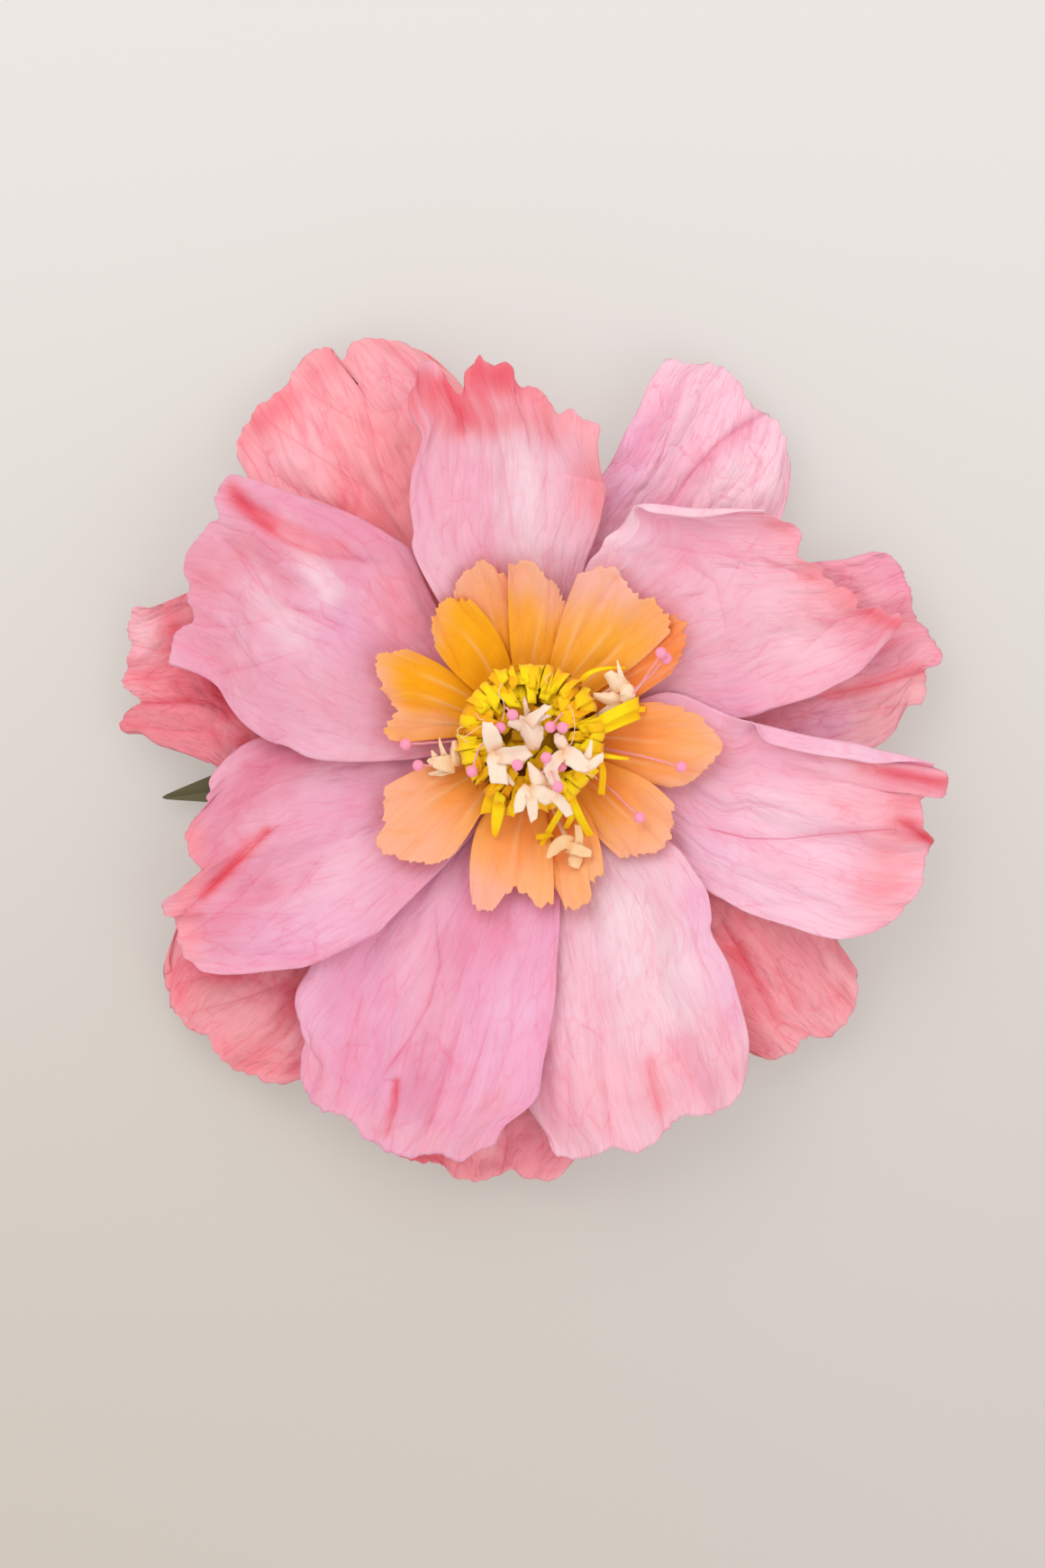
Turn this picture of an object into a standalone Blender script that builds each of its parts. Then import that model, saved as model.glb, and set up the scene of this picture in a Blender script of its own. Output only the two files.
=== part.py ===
# A crepe paper flower that lies face up on a round card backing.
# Metres, +Z up. The origin is the middle of the backing's underside.
# Seven back petals, seven front petals and eleven orange petals are laid like shingles around
# a wound post, under a cut fringe, pip stamens and small cream florets.

import math
import random

import bmesh
import bpy
from mathutils import Vector

# Driving sizes
PAPER = 0.0004            # thickness of one sheet, stretched crepe and glue together
GAP = 0.0003              # clearance between neighbouring pieces
FRONT_REACH = 0.1099      # from the middle to the longest tip of the front petals
BACK_REACH = 0.1138
ORANGE_REACH = 0.049
LEAF_REACH = 0.1016
FRONT_CUP = 0.0065        # how far the front petals stand over the layer below, at the most
BACK_CUP = 0.0086
ORANGE_CUP = 0.001
LEAF_CUP = 0.0026
FRONT_SHINGLE = 0.0077    # height from a front petal's one side to its other
BACK_SHINGLE = 0.0042
ORANGE_SHINGLE = 0.00264
SHINGLE_START = 0.008     # the petals begin to part here
SHINGLE_SPREAD = 0.052    # and are fully apart this much further out
DISC_RADIUS = 0.024       # card backing
DISC_THICK = 0.002
POST_RADIUS = 0.0034      # wound post that the claws stand around
BUTTON_RADIUS = 0.009     # wound button on top of the post
BUTTON_HEIGHT = 0.0095
STRIPS = 44               # cut strips of the fringe
STRIPS_PER_TURN = 36
STRIP_SHARE = 0.86        # share of the pitch that is paper, the rest is the cut
FRINGE_START = 60.0       # bearing where the winding begins
BAND_HEIGHT = 0.003       # uncut foot of the fringe
FRINGE_HEIGHT = 0.0142    # fringe from its foot to the tips that bend in
FRINGE_FLARE = 0.0069     # how far the fringe leans out past its foot
FRINGE_REACH = 0.0165     # how far a loose strip falls outward
TURN_STEP = 0.0013        # radial step of the winding per turn
THREAD_RADIUS = 0.00025   # stamen thread
BEAD_RADIUS = 0.00145     # pip at the end of a stamen
STALK_RADIUS = 0.0003     # floret stalk
FLORET_DEPTH = 0.003      # depth of a floret's funnel
ROLL_RADIUS = 0.0009      # bend radius of a rolled petal rim
RUFFLE_FRONT = 0.0014     # height of the soft waves along the rims
RUFFLE_BACK = 0.0009
RUFFLE_ORANGE = 0.0005

HALF_PINK = 35.0          # widest half angle of a pink petal's claw, in degrees
HALF_ORANGE = 22.0
PINK_COLUMNS = 10
ORANGE_COLUMNS = 7

# Profiles: radius in units of the outlines and height as parts of the cup, on top of the room
# that the layers below need
BACK_RISE = [(4, 0), (20, 0.8), (35, 3.0), (50, 6.0), (65, 8.0), (80, 8.6), (95, 7.2), (114, 4.0)]
FRONT_RISE = [(4, 0), (20, 0.2), (35, 1.0), (50, 2.2), (62, 3.2), (80, 4.4), (110, 6.5)]
ORANGE_RISE = [(4, 0), (20, 0), (35, 0.5), (50, 1.0)]
LEAF_RISE = [(4, 0), (24, 0), (50, 1.5), (75, 2.6), (102, 2.2)]

# Outlines: hand-picked points as bearing in degrees and radius in units, seen from above.
# The longest radius of a table stands for the reach of its petals, which gives the unit's length.
# left is the counterclockwise side and right the clockwise side, both from the claw outward,
# and tip runs from the left side's end to the right side's end.
# pleats are (share of the width, depth in units, half width as a share).
FRONT_PETALS = [
    {
        "axis": 97,
        "left": [(128, 12), (125.5, 30), (123, 53), (117.6, 65.5), (111.2, 77), (110.5, 83.6),
                 (109.8, 90.4)],
        "tip": [(109.8, 90.4), (107.2, 96.6), (105.2, 98), (102, 88.5), (99.2, 95), (97.3, 95),
                (94.1, 93.8), (91.8, 87.6), (88.2, 86.2), (85.2, 81.6), (82.5, 82.4), (77.4, 78.6)],
        "right": [(67, 12), (69, 30), (72.2, 48.7), (72.7, 59.9), (75.7, 69.2), (77.4, 78.6)],
        "pleats": [(0.5, 1.6, 0.07), (0.8, 1.0, 0.06)],
        "lift": 4.0,
    },
    {
        "axis": 38,
        "left": [(68, 12), (70, 28), (72.2, 43.7), (69.6, 53), (66.3, 60.5), (64.8, 63.9),
                 (54, 70.1), (44.1, 80.8)],
        "tip": [(44.1, 80.8), (38, 85.2), (34.4, 80.9), (30.3, 84.4), (26.7, 86.1), (21.9, 88.2),
                (20.6, 94.2), (17.6, 98), (16.8, 91.7)],
        "right": [(8, 12), (6.5, 30), (5, 52), (6.8, 61.2), (9.3, 75.2), (13.7, 87.5), (16.8, 91.7)],
        "pleats": [(0.4, 1.4, 0.06), (0.7, 1.4, 0.06)],
        "roll": (0.58, 0.15, 7.5),
        "lift": 1.0,
    },
    {
        "axis": -12,
        "left": [(18, 12), (19, 25), (17.5, 36), (9.4, 45.6), (5, 52), (2.1, 60.8), (-0.5, 74.3),
                 (-2.1, 86), (-3.8, 100.6)],
        "tip": [(-3.8, 100.6), (-5.5, 105.4), (-8, 103), (-10.5, 99.6), (-14, 104.2),
                (-18.7, 103.7), (-22, 104.1), (-25.1, 102.7), (-28.4, 99.9), (-31.1, 95.9)],
        "right": [(-42, 12), (-42, 28), (-41.5, 45), (-41.1, 58.4), (-39.2, 69), (-36.4, 79.2),
                  (-33.4, 91.5), (-31.1, 95.9)],
        "pleats": [(0.5, 1.2, 0.06)],
        "roll": (0.47, 0.15, 6.5),
        "lift": 0.0,
    },
    {
        "axis": -67,
        "left": [(-37, 12), (-36, 30), (-37.1, 44.7), (-41.3, 58.2), (-47.4, 66.2), (-49, 74.4),
                 (-53.3, 89.4), (-57.1, 99)],
        "tip": [(-57.1, 99), (-59.3, 102.7), (-62.5, 104.7), (-65.6, 104.6), (-68.1, 102),
                (-71.4, 104.7), (-75.4, 107.2), (-79.5, 104.7), (-82.5, 106.4), (-87.3, 102.2)],
        "right": [(-97, 12), (-97, 30), (-95, 60), (-92.5, 85), (-89, 97), (-87.3, 102.2)],
        "pleats": [(0.3, 1.3, 0.06), (0.6, 1.6, 0.06)],
        "lift": 0.0,
    },
    {
        "axis": 251,
        "left": [(281, 12), (281.5, 28), (280.2, 39.6), (276.7, 55.4), (275.1, 65.6),
                 (272.2, 80.3), (269.4, 92.3), (264.9, 101.9)],
        "tip": [(264.9, 101.9), (260.5, 107.7), (257.6, 106.5), (254, 109.9), (247.8, 109),
                (243, 106.3), (240, 107.3), (235.7, 102.7), (233.7, 96.7)],
        "right": [(221, 12), (221, 35), (222, 60), (225, 76), (227.1, 85.9), (231, 90.2),
                  (233.7, 96.7)],
        "pleats": [(0.6, 2.0, 0.06), (0.3, 1.5, 0.06), (0.8, 1.0, 0.05)],
        "lift": -1.0,
    },
    {
        "axis": 210,
        "left": [(241, 12), (240, 25), (236.5, 37), (233.5, 50), (231.7, 62.4), (227.5, 74.1),
                 (223.8, 83.3), (219.5, 92.7), (215.6, 100.4)],
        "tip": [(215.6, 100.4), (212.5, 102.9), (209.5, 102.3), (207.2, 100.3), (205, 102.4),
                (203.6, 97.3), (202.1, 89.8), (198.5, 90.7), (195.3, 89.8), (190.8, 83),
                (185.8, 78.8)],
        "right": [(180, 12), (178, 30), (177, 50), (178.5, 62), (181.5, 72), (185.8, 78.8)],
        "pleats": [(0.6, 2.0, 0.06), (0.3, 1.0, 0.06)],
        "lift": 0.0,
    },
    {
        "axis": 159,
        "left": [(191, 12), (191, 25), (189, 38.7), (186, 53.8), (180.9, 65.5), (177.5, 71.5),
                 (171, 79.1), (169.4, 84.1), (168.7, 92.1)],
        "tip": [(168.7, 92.1), (164.5, 93), (160.5, 90.4), (156.1, 94.3), (152.2, 97.8),
                (147.4, 97.2), (144.8, 96), (142, 99.9), (138.9, 98.9), (139.7, 95.2)],
        "right": [(129, 12), (128, 28), (125, 45), (123.1, 55), (126.3, 65), (132, 78.8),
                  (138.7, 93.8), (139.7, 95.2)],
        "pleats": [(0.8, 1.8, 0.06), (0.4, 1.2, 0.06)],
        "lift": 1.5,
    },
]

BACK_PETALS = [
    {
        "axis": 121,
        "left": [(150, 12), (148, 30), (146, 55), (143, 75), (138.2, 93.4), (136.4, 101.9)],
        "tip": [(136.4, 101.9), (132.5, 107), (127.3, 108.1), (123.5, 110.4), (118.5, 111.6),
                (116.4, 107), (113.8, 109.2), (109.2, 105.8), (104.9, 99.4)],
        "right": [(92, 12), (93, 30), (94, 55), (97, 75), (101.4, 90.5), (104.9, 99.4)],
        "pleats": [(0.4, 1.2, 0.06)],
        "lift": 0.0,
    },
    {
        "axis": 58,
        "left": [(88, 12), (86, 30), (81, 50), (74.4, 69.6), (72, 86.1), (71.1, 97), (70.4, 100.6)],
        "tip": [(70.4, 100.6), (66.8, 101.8), (63, 105.1), (59.4, 103.3), (56.7, 100.7),
                (52.8, 101.2), (49, 98.3), (46.8, 95)],
        "right": [(28, 12), (30, 30), (33, 50), (37, 70), (41.4, 83.7), (46.8, 95)],
        "pleats": [(0.5, 1.4, 0.06)],
        "lift": 0.0,
    },
    {
        "axis": 14,
        "left": [(44, 12), (43, 30), (40, 50), (36, 70), (30.2, 88), (28.5, 97.3)],
        "tip": [(28.5, 97.3), (25.3, 102.6), (21.4, 102.5), (18.4, 101), (15.1, 103.9),
                (10.6, 105.2), (9.6, 100.5), (6.9, 100.4), (4.7, 98)],
        "right": [(-16, 12), (-14, 30), (-10, 50), (-6, 70), (-1.5, 86.5), (2.5, 92.3), (4.7, 98)],
        "pleats": [(0.5, 1.6, 0.06)],
        "lift": 1.0,
    },
    {
        "axis": -44,
        "left": [(-14, 12), (-16, 30), (-20, 50), (-26, 72), (-33.4, 91.6), (-35.6, 100.4)],
        "tip": [(-35.6, 100.4), (-38.5, 104.8), (-43, 107.6), (-46.9, 103.3), (-50.2, 103.1),
                (-53.9, 100.3), (-54.8, 97.6)],
        "right": [(-74, 12), (-72, 30), (-69, 50), (-64, 72), (-58, 88), (-54.8, 97.6)],
        "pleats": [(0.5, 1.4, 0.06)],
        "lift": 0.0,
    },
    {
        "axis": 265,
        "left": [(295, 12), (294, 30), (292, 55), (288, 80), (281, 98), (275.6, 106.6)],
        "tip": [(275.6, 106.6), (272.5, 111.6), (268.6, 110.7), (265.3, 111.3), (261.5, 113.5),
                (257.7, 110.3), (252.5, 110.6)],
        "right": [(235, 12), (236, 30), (238, 55), (241, 80), (246, 102), (252.5, 110.6)],
        "pleats": [(0.5, 1.2, 0.06)],
        "lift": 0.0,
    },
    {
        "axis": 223,
        "left": [(253, 12), (252, 30), (250, 55), (246, 78), (240, 95), (234.8, 106.4)],
        "tip": [(234.8, 106.4), (229.9, 111.1), (224.6, 112.3), (222.8, 111.2), (218.5, 113.8),
                (215, 112), (212.9, 107.7)],
        "right": [(193, 12), (194, 30), (196, 55), (199, 75), (204, 92), (212.9, 107.7)],
        "pleats": [(0.5, 1.2, 0.06)],
        "lift": 0.0,
    },
    {
        "axis": 171,
        "left": [(201, 12), (200, 30), (198, 50), (194, 65), (185.5, 78.9), (183.3, 85),
                 (181.1, 93.8), (179.5, 101)],
        "tip": [(179.5, 101), (178.5, 104.3), (175, 99.4), (172, 104.4), (168.8, 104.2),
                (166.8, 103.3), (163.8, 106), (161.5, 102.1)],
        "right": [(141, 12), (142, 30), (144, 55), (149, 78), (155, 90), (161.5, 102.1)],
        "pleats": [(0.5, 1.6, 0.06)],
        "lift": 0.5,
    },
]

# Orange petals: "low" ones lie under their two neighbours
ORANGE_PETALS = [
    {"axis": 160, "left": [(179, 8), (180, 18), (182, 28), (181.9, 33.4)],
     "tip": [(181.9, 33.4), (177, 38.4), (170, 36), (163.9, 38.9), (155.4, 43.3), (150.9, 43.9),
             (144.7, 38)],
     "right": [(141, 8), (140, 18), (141, 28), (144.7, 38)], "lift": 1.5},
    {"axis": 123, "left": [(142, 8), (141, 18), (140, 26), (137, 33)],
     "tip": [(137, 33), (131, 38.5), (125.3, 40.7), (120.7, 40.9), (114, 38)],
     "right": [(104, 8), (105, 18), (108, 28), (114, 38)], "lift": 0.5},
    {"axis": 108, "left": [(127, 8), (126, 18), (124, 30), (118.1, 41.4)], "low": True,
     "tip": [(118.1, 41.4), (114.5, 44.5), (109.7, 46.1), (105.4, 46.1), (99.6, 41.7)],
     "right": [(89, 8), (90, 18), (93, 30), (99.6, 41.7)], "lift": 0.0},
    {"axis": 88, "left": [(107, 8), (105, 18), (101, 30), (97.5, 43.5)],
     "tip": [(97.5, 43.5), (93, 44.5), (87.9, 43.5), (80.8, 39), (76, 35)],
     "right": [(69, 8), (70, 18), (72, 27), (76, 35)], "lift": 0.0},
    {"axis": 55, "left": [(76, 8), (76, 18), (76, 30), (74.2, 42.1)],
     "tip": [(74.2, 42.1), (70, 45.2), (63, 47.6), (55.5, 44.6), (47.2, 47), (41.2, 46.4),
             (36.9, 43.2)],
     "right": [(35, 8), (35, 18), (34.5, 30), (36.9, 43.2)], "lift": 0.5},
    {"axis": 32, "left": [(52, 8), (51, 18), (47, 32), (40.4, 47.2)], "low": True,
     "tip": [(40.4, 47.2), (38.1, 49), (34.6, 48), (30.4, 44.7), (24.5, 38.7)],
     "right": [(12, 8), (14, 18), (20, 27), (24.5, 38.7)], "lift": 0.0},
    {"axis": 0, "left": [(20, 8), (20, 18), (18, 27), (15.4, 33.1)],
     "tip": [(15.4, 33.1), (8.5, 41.7), (1, 47.8), (-4.5, 48.3), (-10, 45), (-17.3, 40.4),
             (-20.1, 36.9)],
     "right": [(-20, 8), (-21, 18), (-21.5, 28), (-20.1, 36.9)], "lift": 0.0},
    {"axis": -38, "left": [(-18, 8), (-18, 18), (-20, 30), (-25.3, 39.7)],
     "tip": [(-25.3, 39.7), (-30, 41.8), (-35.4, 44.1), (-40.9, 44), (-47, 40.8), (-53.8, 37.4)],
     "right": [(-58, 8), (-58.5, 18), (-57, 28), (-53.8, 37.4)], "lift": 0.0},
    {"axis": -71, "left": [(-51, 8), (-52, 18), (-55, 28), (-62.1, 38.6)],
     "tip": [(-62.1, 38.6), (-67.6, 40.5), (-72, 44.8), (-77.5, 45), (-79.6, 40)],
     "right": [(-91, 8), (-90, 18), (-88, 28), (-79.6, 40)], "lift": 0.0},
    {"axis": 260, "left": [(280, 8), (281, 18), (280.5, 28), (277.6, 41.8)],
     "tip": [(277.6, 41.8), (272.5, 43.4), (266.6, 40.1), (263.6, 38.9), (258, 44.6),
             (251.9, 45.9), (248.5, 41.6)],
     "right": [(240, 8), (239, 18), (239, 27), (248.5, 41.6)], "lift": -0.3},
    {"axis": 215, "left": [(235, 8), (236, 18), (237, 27), (236.8, 34.5)],
     "tip": [(236.8, 34.5), (232, 41), (223.3, 45.9), (218.9, 48), (213.7, 47.3), (206, 42),
             (198.6, 38.7)],
     "right": [(195, 8), (194, 18), (195, 27), (198.6, 38.7)], "lift": 0.0},
]

LEAVES = [
    {"axis": 190, "left": [(198, 8), (198.5, 25), (197.5, 50), (193.5, 72), (191.2, 83.5),
                           (189.6, 93.2)],
     "tip": [(189.6, 93.2), (189.2, 94.2), (188.9, 93)],
     "right": [(182, 8), (181.5, 25), (182, 50), (184.5, 70), (186.9, 81.9), (188.9, 93)]},
    {"axis": 208, "left": [(216, 8), (216.5, 25), (215.5, 50), (212.5, 75), (210, 92),
                           (208.7, 100.6)],
     "tip": [(208.7, 100.6), (208.3, 101.6), (207.9, 100.4)],
     "right": [(200, 8), (199.5, 25), (200.5, 50), (203.5, 75), (206.2, 92), (207.9, 100.4)]},
]

# Loose strips of the fringe: bearing, sideways lean in degrees at the end
LOOSE_STRIPS = [(15, -2), (5, 5), (45, -8), (335, -9), (305, -3), (285, -8), (245, 4)]

# Inner stamens rise between button and fringe: bearing at the foot, then the pip's bearing,
# radius and height over the fringe
INNER_STAMENS = [
    (131, 131, 7.2, 5.2), (164, 163.8, 8.1, 1.5), (38, 27.6, 5.3, 4.6), (16, 16.4, 8.0, 6.2),
    (-72, -55, 6.3, 5.4), (246, 243.4, 7.8, 5.6), (-44.5, -44.5, 10.3, 0.6), (-60, -62.2, 14.0, 6.3),
    (177, 210, 17.1, 0.4),
]
# Outer stamens leave from under the fringe: bearing at the foot, pip's bearing, radius, height
OUTER_STAMENS = [
    (-31, -36.6, 33.6, 2.0), (-8, -11.3, 38.0, 2.0), (183, 183.3, 31.5, 2.0),
    (201, 194, 29.2, 2.0), (13, 33, 38.4, 5.0), (18, 30.3, 38.8, 1.7),
]
# Florets: foot's bearing, cup's bearing and radius, height over the fringe, spread, lean outward
INNER_FLORETS = [
    (214, 210.5, 10.2, 0.4, 5.2, -4), (100, 108, 2.8, -0.6, 4.5, 8),
    (-22.6, -22.6, 8.8, 0.4, 4.2, 15), (-88, -84.4, 13.8, 1.0, 4.6, 12),
]
OUTER_FLORETS = [(34, 30.4, 25.3, 1.8, 4.5, -10), (191, 193.5, 23.0, 1.0, 4.2, -12),
                 (-77, -70.2, 29.9, 1.8, 4.6, -10)]


def smoothstep(x):
    x = min(max(x, 0.0), 1.0)
    return x * x * (3 - 2 * x)


def smooth(points, x):
    # height at x on a smooth curve through the given (x, height) points
    if x <= points[0][0]:
        return points[0][1]
    if x >= points[-1][0]:
        return points[-1][1]
    i = max(k for k in range(len(points) - 1) if points[k][0] <= x)
    slopes = []
    for k in (i, i + 1):
        a = points[max(k - 1, 0)]
        b = points[min(k + 1, len(points) - 1)]
        slopes.append((b[1] - a[1]) / (b[0] - a[0]))
    x0, y0 = points[i]
    x1, y1 = points[i + 1]
    h = x1 - x0
    t = (x - x0) / h
    return (y0 * (1 + 2 * t) * (1 - t) ** 2 + slopes[0] * h * t * (1 - t) ** 2
            + y1 * t * t * (3 - 2 * t) - slopes[1] * h * t * t * (1 - t))


def unit_of(shapes, reach):
    # length of one unit of these outlines, so that the longest tip is at the reach
    return reach / max(point[1] for shape in shapes for point in shape["tip"])


FRONT_UNIT = unit_of(FRONT_PETALS, FRONT_REACH)
BACK_UNIT = unit_of(BACK_PETALS, BACK_REACH)
ORANGE_UNIT = unit_of(ORANGE_PETALS, ORANGE_REACH)
LEAF_UNIT = unit_of(LEAVES, LEAF_REACH)
HEAD_UNIT = BUTTON_RADIUS / 9     # unit of the tables for what stands round the button


def rise(profile, r, unit, cup):
    return cup * smooth(profile, r / unit) / max(height for _, height in profile)


# The layers. A sheet takes SEAT of height, and each petal is tilted about its axis, so that its
# clockwise side passes over its counterclockwise neighbour all the way round.

SEAT = PAPER * 1.15 + GAP
CLAW_RADIUS = POST_RADIUS + GAP + PAPER / 2


def tilt(r, closest, outer):
    # height gained per degree of bearing, enough at the claws for the closest two petals
    inner = 1.25 * (PAPER + GAP) / closest
    return inner + (outer - inner) * smoothstep((r - SHINGLE_START) / SHINGLE_SPREAD)


def back_tilt(r):
    return tilt(r, 42, BACK_SHINGLE / (2 * HALF_PINK))


def front_tilt(r):
    return tilt(r, 41, FRONT_SHINGLE / (2 * HALF_PINK))


def orange_tilt(r):
    return tilt(r, 29, ORANGE_SHINGLE / (2 * HALF_ORANGE))


def leaf_height(r):
    return DISC_THICK + GAP + PAPER / 2 + rise(LEAF_RISE, r, LEAF_UNIT, LEAF_CUP)


def back_height(r):
    over = SEAT + rise(BACK_RISE, r, BACK_UNIT, BACK_CUP)
    return DISC_THICK + GAP + PAPER * 0.6 + HALF_PINK * back_tilt(r) + over


def front_height(r):
    over = SEAT + rise(FRONT_RISE, r, FRONT_UNIT, FRONT_CUP)
    return back_height(r) + HALF_PINK * (back_tilt(r) + front_tilt(r)) + over


def low_orange_height(r):
    over = SEAT + rise(ORANGE_RISE, r, ORANGE_UNIT, ORANGE_CUP)
    return front_height(r) + HALF_PINK * front_tilt(r) + over


def orange_height(r):
    return low_orange_height(r) + HALF_ORANGE * orange_tilt(r) + SEAT


def orange_top(r):
    # nothing of the orange ring reaches higher than this
    ruffle = 2.5 * RUFFLE_ORANGE * smoothstep((r / ORANGE_UNIT - 18) / 20)
    return orange_height(r) + HALF_ORANGE * orange_tilt(r) + PAPER * 0.6 + ruffle


def polar(bearing, radius, height=0.0):
    angle = math.radians(bearing)
    return Vector((radius * math.cos(angle), radius * math.sin(angle), height))


class Outline:
    # a line through (bearing, radius) points that is read by its share of length

    def __init__(self, points):
        self.points = points
        self.shares = [0.0]
        for a, b in zip(points, points[1:]):
            self.shares.append(self.shares[-1] + (polar(*b) - polar(*a)).length)
        self.shares = [s / self.shares[-1] for s in self.shares]

    def at(self, share):
        share = min(max(share, 0.0), 1.0)
        i = max(k for k in range(len(self.points) - 1) if self.shares[k] <= share)
        t = (share - self.shares[i]) / (self.shares[i + 1] - self.shares[i])
        a = self.points[i]
        b = self.points[i + 1]
        return Vector((a[0] + (b[0] - a[0]) * t, a[1] + (b[1] - a[1]) * t))


def in_metres(points, unit):
    return [(bearing, radius * unit) for bearing, radius in points]


def rolled(distance, turn, flap):
    # where a point of the flap lies, out from the bend line and up, when it is turned over
    if turn < 0.01:
        return Vector((distance, 0.0))
    arc = min(distance, ROLL_RADIUS * turn)
    out = ROLL_RADIUS * math.sin(arc / ROLL_RADIUS)
    up = ROLL_RADIUS * (1 - math.cos(arc / ROLL_RADIUS))
    rest = distance - arc
    return Vector((out + rest * math.cos(turn), up + rest * math.sin(turn)))


class Petal:
    # one sheet between its left side, its right side and its tip

    def __init__(self, shape, unit, height, tilt_at, ruffle, start, seed):
        self.shape = shape
        self.unit = unit
        self.height = height
        self.tilt_at = tilt_at
        self.ruffle = ruffle
        self.start = start
        first = (shape["left"][0][0], CLAW_RADIUS)
        last = (shape["right"][0][0], CLAW_RADIUS)
        self.left = Outline([first] + in_metres(shape["left"], unit))
        self.right = Outline([last] + in_metres(shape["right"], unit))
        self.tip = Outline(in_metres(shape["tip"], unit))
        chance = random.Random(seed)
        self.phases = [chance.uniform(0, math.tau) for _ in range(2)]

    def turn(self, v):
        # how far the rim is rolled over, from flat to half a turn
        begin, length, _ = self.shape["roll"]
        return math.pi * smoothstep((v - begin) / length)

    def flap_width(self, v):
        return self.shape["roll"][2] * self.unit * (0.08 + 0.92 * smoothstep(v / 0.4))

    def left_side(self, v):
        # the left side, moved in to the bend line where the rim is rolled, and its outward way
        here = self.left.at(v)
        if "roll" not in self.shape:
            return here, None
        before = self.left.at(v - 0.03)
        after = self.left.at(v + 0.03)
        along = (polar(*after) - polar(*before)).normalized()
        outward = Vector((-along.y, along.x, 0.0))
        flap = self.flap_width(v)
        reach = max(rolled(flap * k / 12, self.turn(v), flap).x for k in range(13))
        line = polar(*here) - outward * reach
        bearing = math.degrees(math.atan2(line.y, line.x))
        bearing += 360 * round((here.x - bearing) / 360)
        return Vector((bearing, line.to_2d().length)), outward

    def plan(self, u, v):
        # bearing and radius inside the four sides
        left, _ = self.left_side(v)
        left_end, _ = self.left_side(1.0)
        tip = self.tip.at(u) + (left_end - self.tip.at(0.0)) * (1 - u)
        straight = left_end.lerp(self.right.at(1.0), u)
        return left.lerp(self.right.at(v), u) + (tip - straight) * v ** 1.5

    def surface(self, u, v):
        bearing, radius = self.plan(u, v)
        swing = bearing - self.shape["axis"]
        z = self.height(radius) + self.tilt_at(radius) * swing
        outer = smoothstep((radius / self.unit - self.start) / (1.6 * self.start))
        wave = math.sin(math.tau * 1.7 * u + self.phases[0])
        wave += 0.6 * math.sin(math.tau * 3.1 * u + self.phases[1])
        z += self.ruffle * outer * wave
        for place, depth, width in self.shape.get("pleats", []):
            z -= depth * self.unit * outer * math.exp(-((u - place) / width) ** 2)
        z += self.shape["lift"] * self.unit * smoothstep((v - 0.72) / 0.28)
        return polar(bearing, radius, z)

    def flap(self, share, v):
        # the rolled rim, share 0 at the bend line and 1 at the paper's edge
        _, outward = self.left_side(v)
        flap = self.flap_width(v)
        out, up = rolled(flap * share, self.turn(v), flap)
        return self.surface(0.0, v) + outward * out + Vector((0, 0, up))


def material(name, colour, roughness):
    mat = bpy.data.materials.new(name)
    mat.use_nodes = True
    shader = mat.node_tree.nodes["Principled BSDF"]
    shader.inputs["Base Color"].default_value = (*colour, 1.0)
    shader.inputs["Roughness"].default_value = roughness
    shader.inputs["Metallic"].default_value = 0.0
    mat.diffuse_color = (*colour, 1.0)
    return mat


def keep(obj, name, collection, mat):
    obj.name = name
    obj.data.name = name
    obj.data.materials.clear()
    obj.data.materials.append(mat)
    for other in list(obj.users_collection):
        other.objects.unlink(obj)
    collection.objects.link(obj)
    return obj


def shaded(obj):
    obj.data.shade_smooth()
    obj.data.set_sharp_from_angle(angle=math.radians(40))
    return obj


def add_paper(obj):
    # gives an open sheet its thickness, half to each side
    solid = obj.modifiers.new("paper", "SOLIDIFY")
    solid.thickness = PAPER
    solid.offset = 0.0
    solid.use_even_offset = True
    return obj


def add_petal(name, petal, columns, rows, collection, mat):
    flaps = [1.0, 0.34, 0.17] if "roll" in petal.shape else []
    total = columns + len(flaps)
    bpy.ops.mesh.primitive_grid_add(x_subdivisions=total, y_subdivisions=len(rows) - 1, size=2)
    obj = bpy.context.object
    for vert in obj.data.vertices:
        column = round((vert.co.x + 1) / 2 * total)
        v = rows[round((vert.co.y + 1) / 2 * (len(rows) - 1))]
        if column < len(flaps):
            vert.co = petal.flap(flaps[column], v)
        else:
            vert.co = petal.surface((column - len(flaps)) / columns, v)
    obj.data.update()
    add_paper(obj)
    return keep(shaded(obj), name, collection, mat)


def add_disc(collection, mat):
    bpy.ops.mesh.primitive_cylinder_add(vertices=40, radius=DISC_RADIUS, depth=DISC_THICK,
                                        location=(0, 0, DISC_THICK / 2))
    obj = bpy.context.object
    return keep(shaded(obj), "backing_disc", collection, mat)


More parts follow.
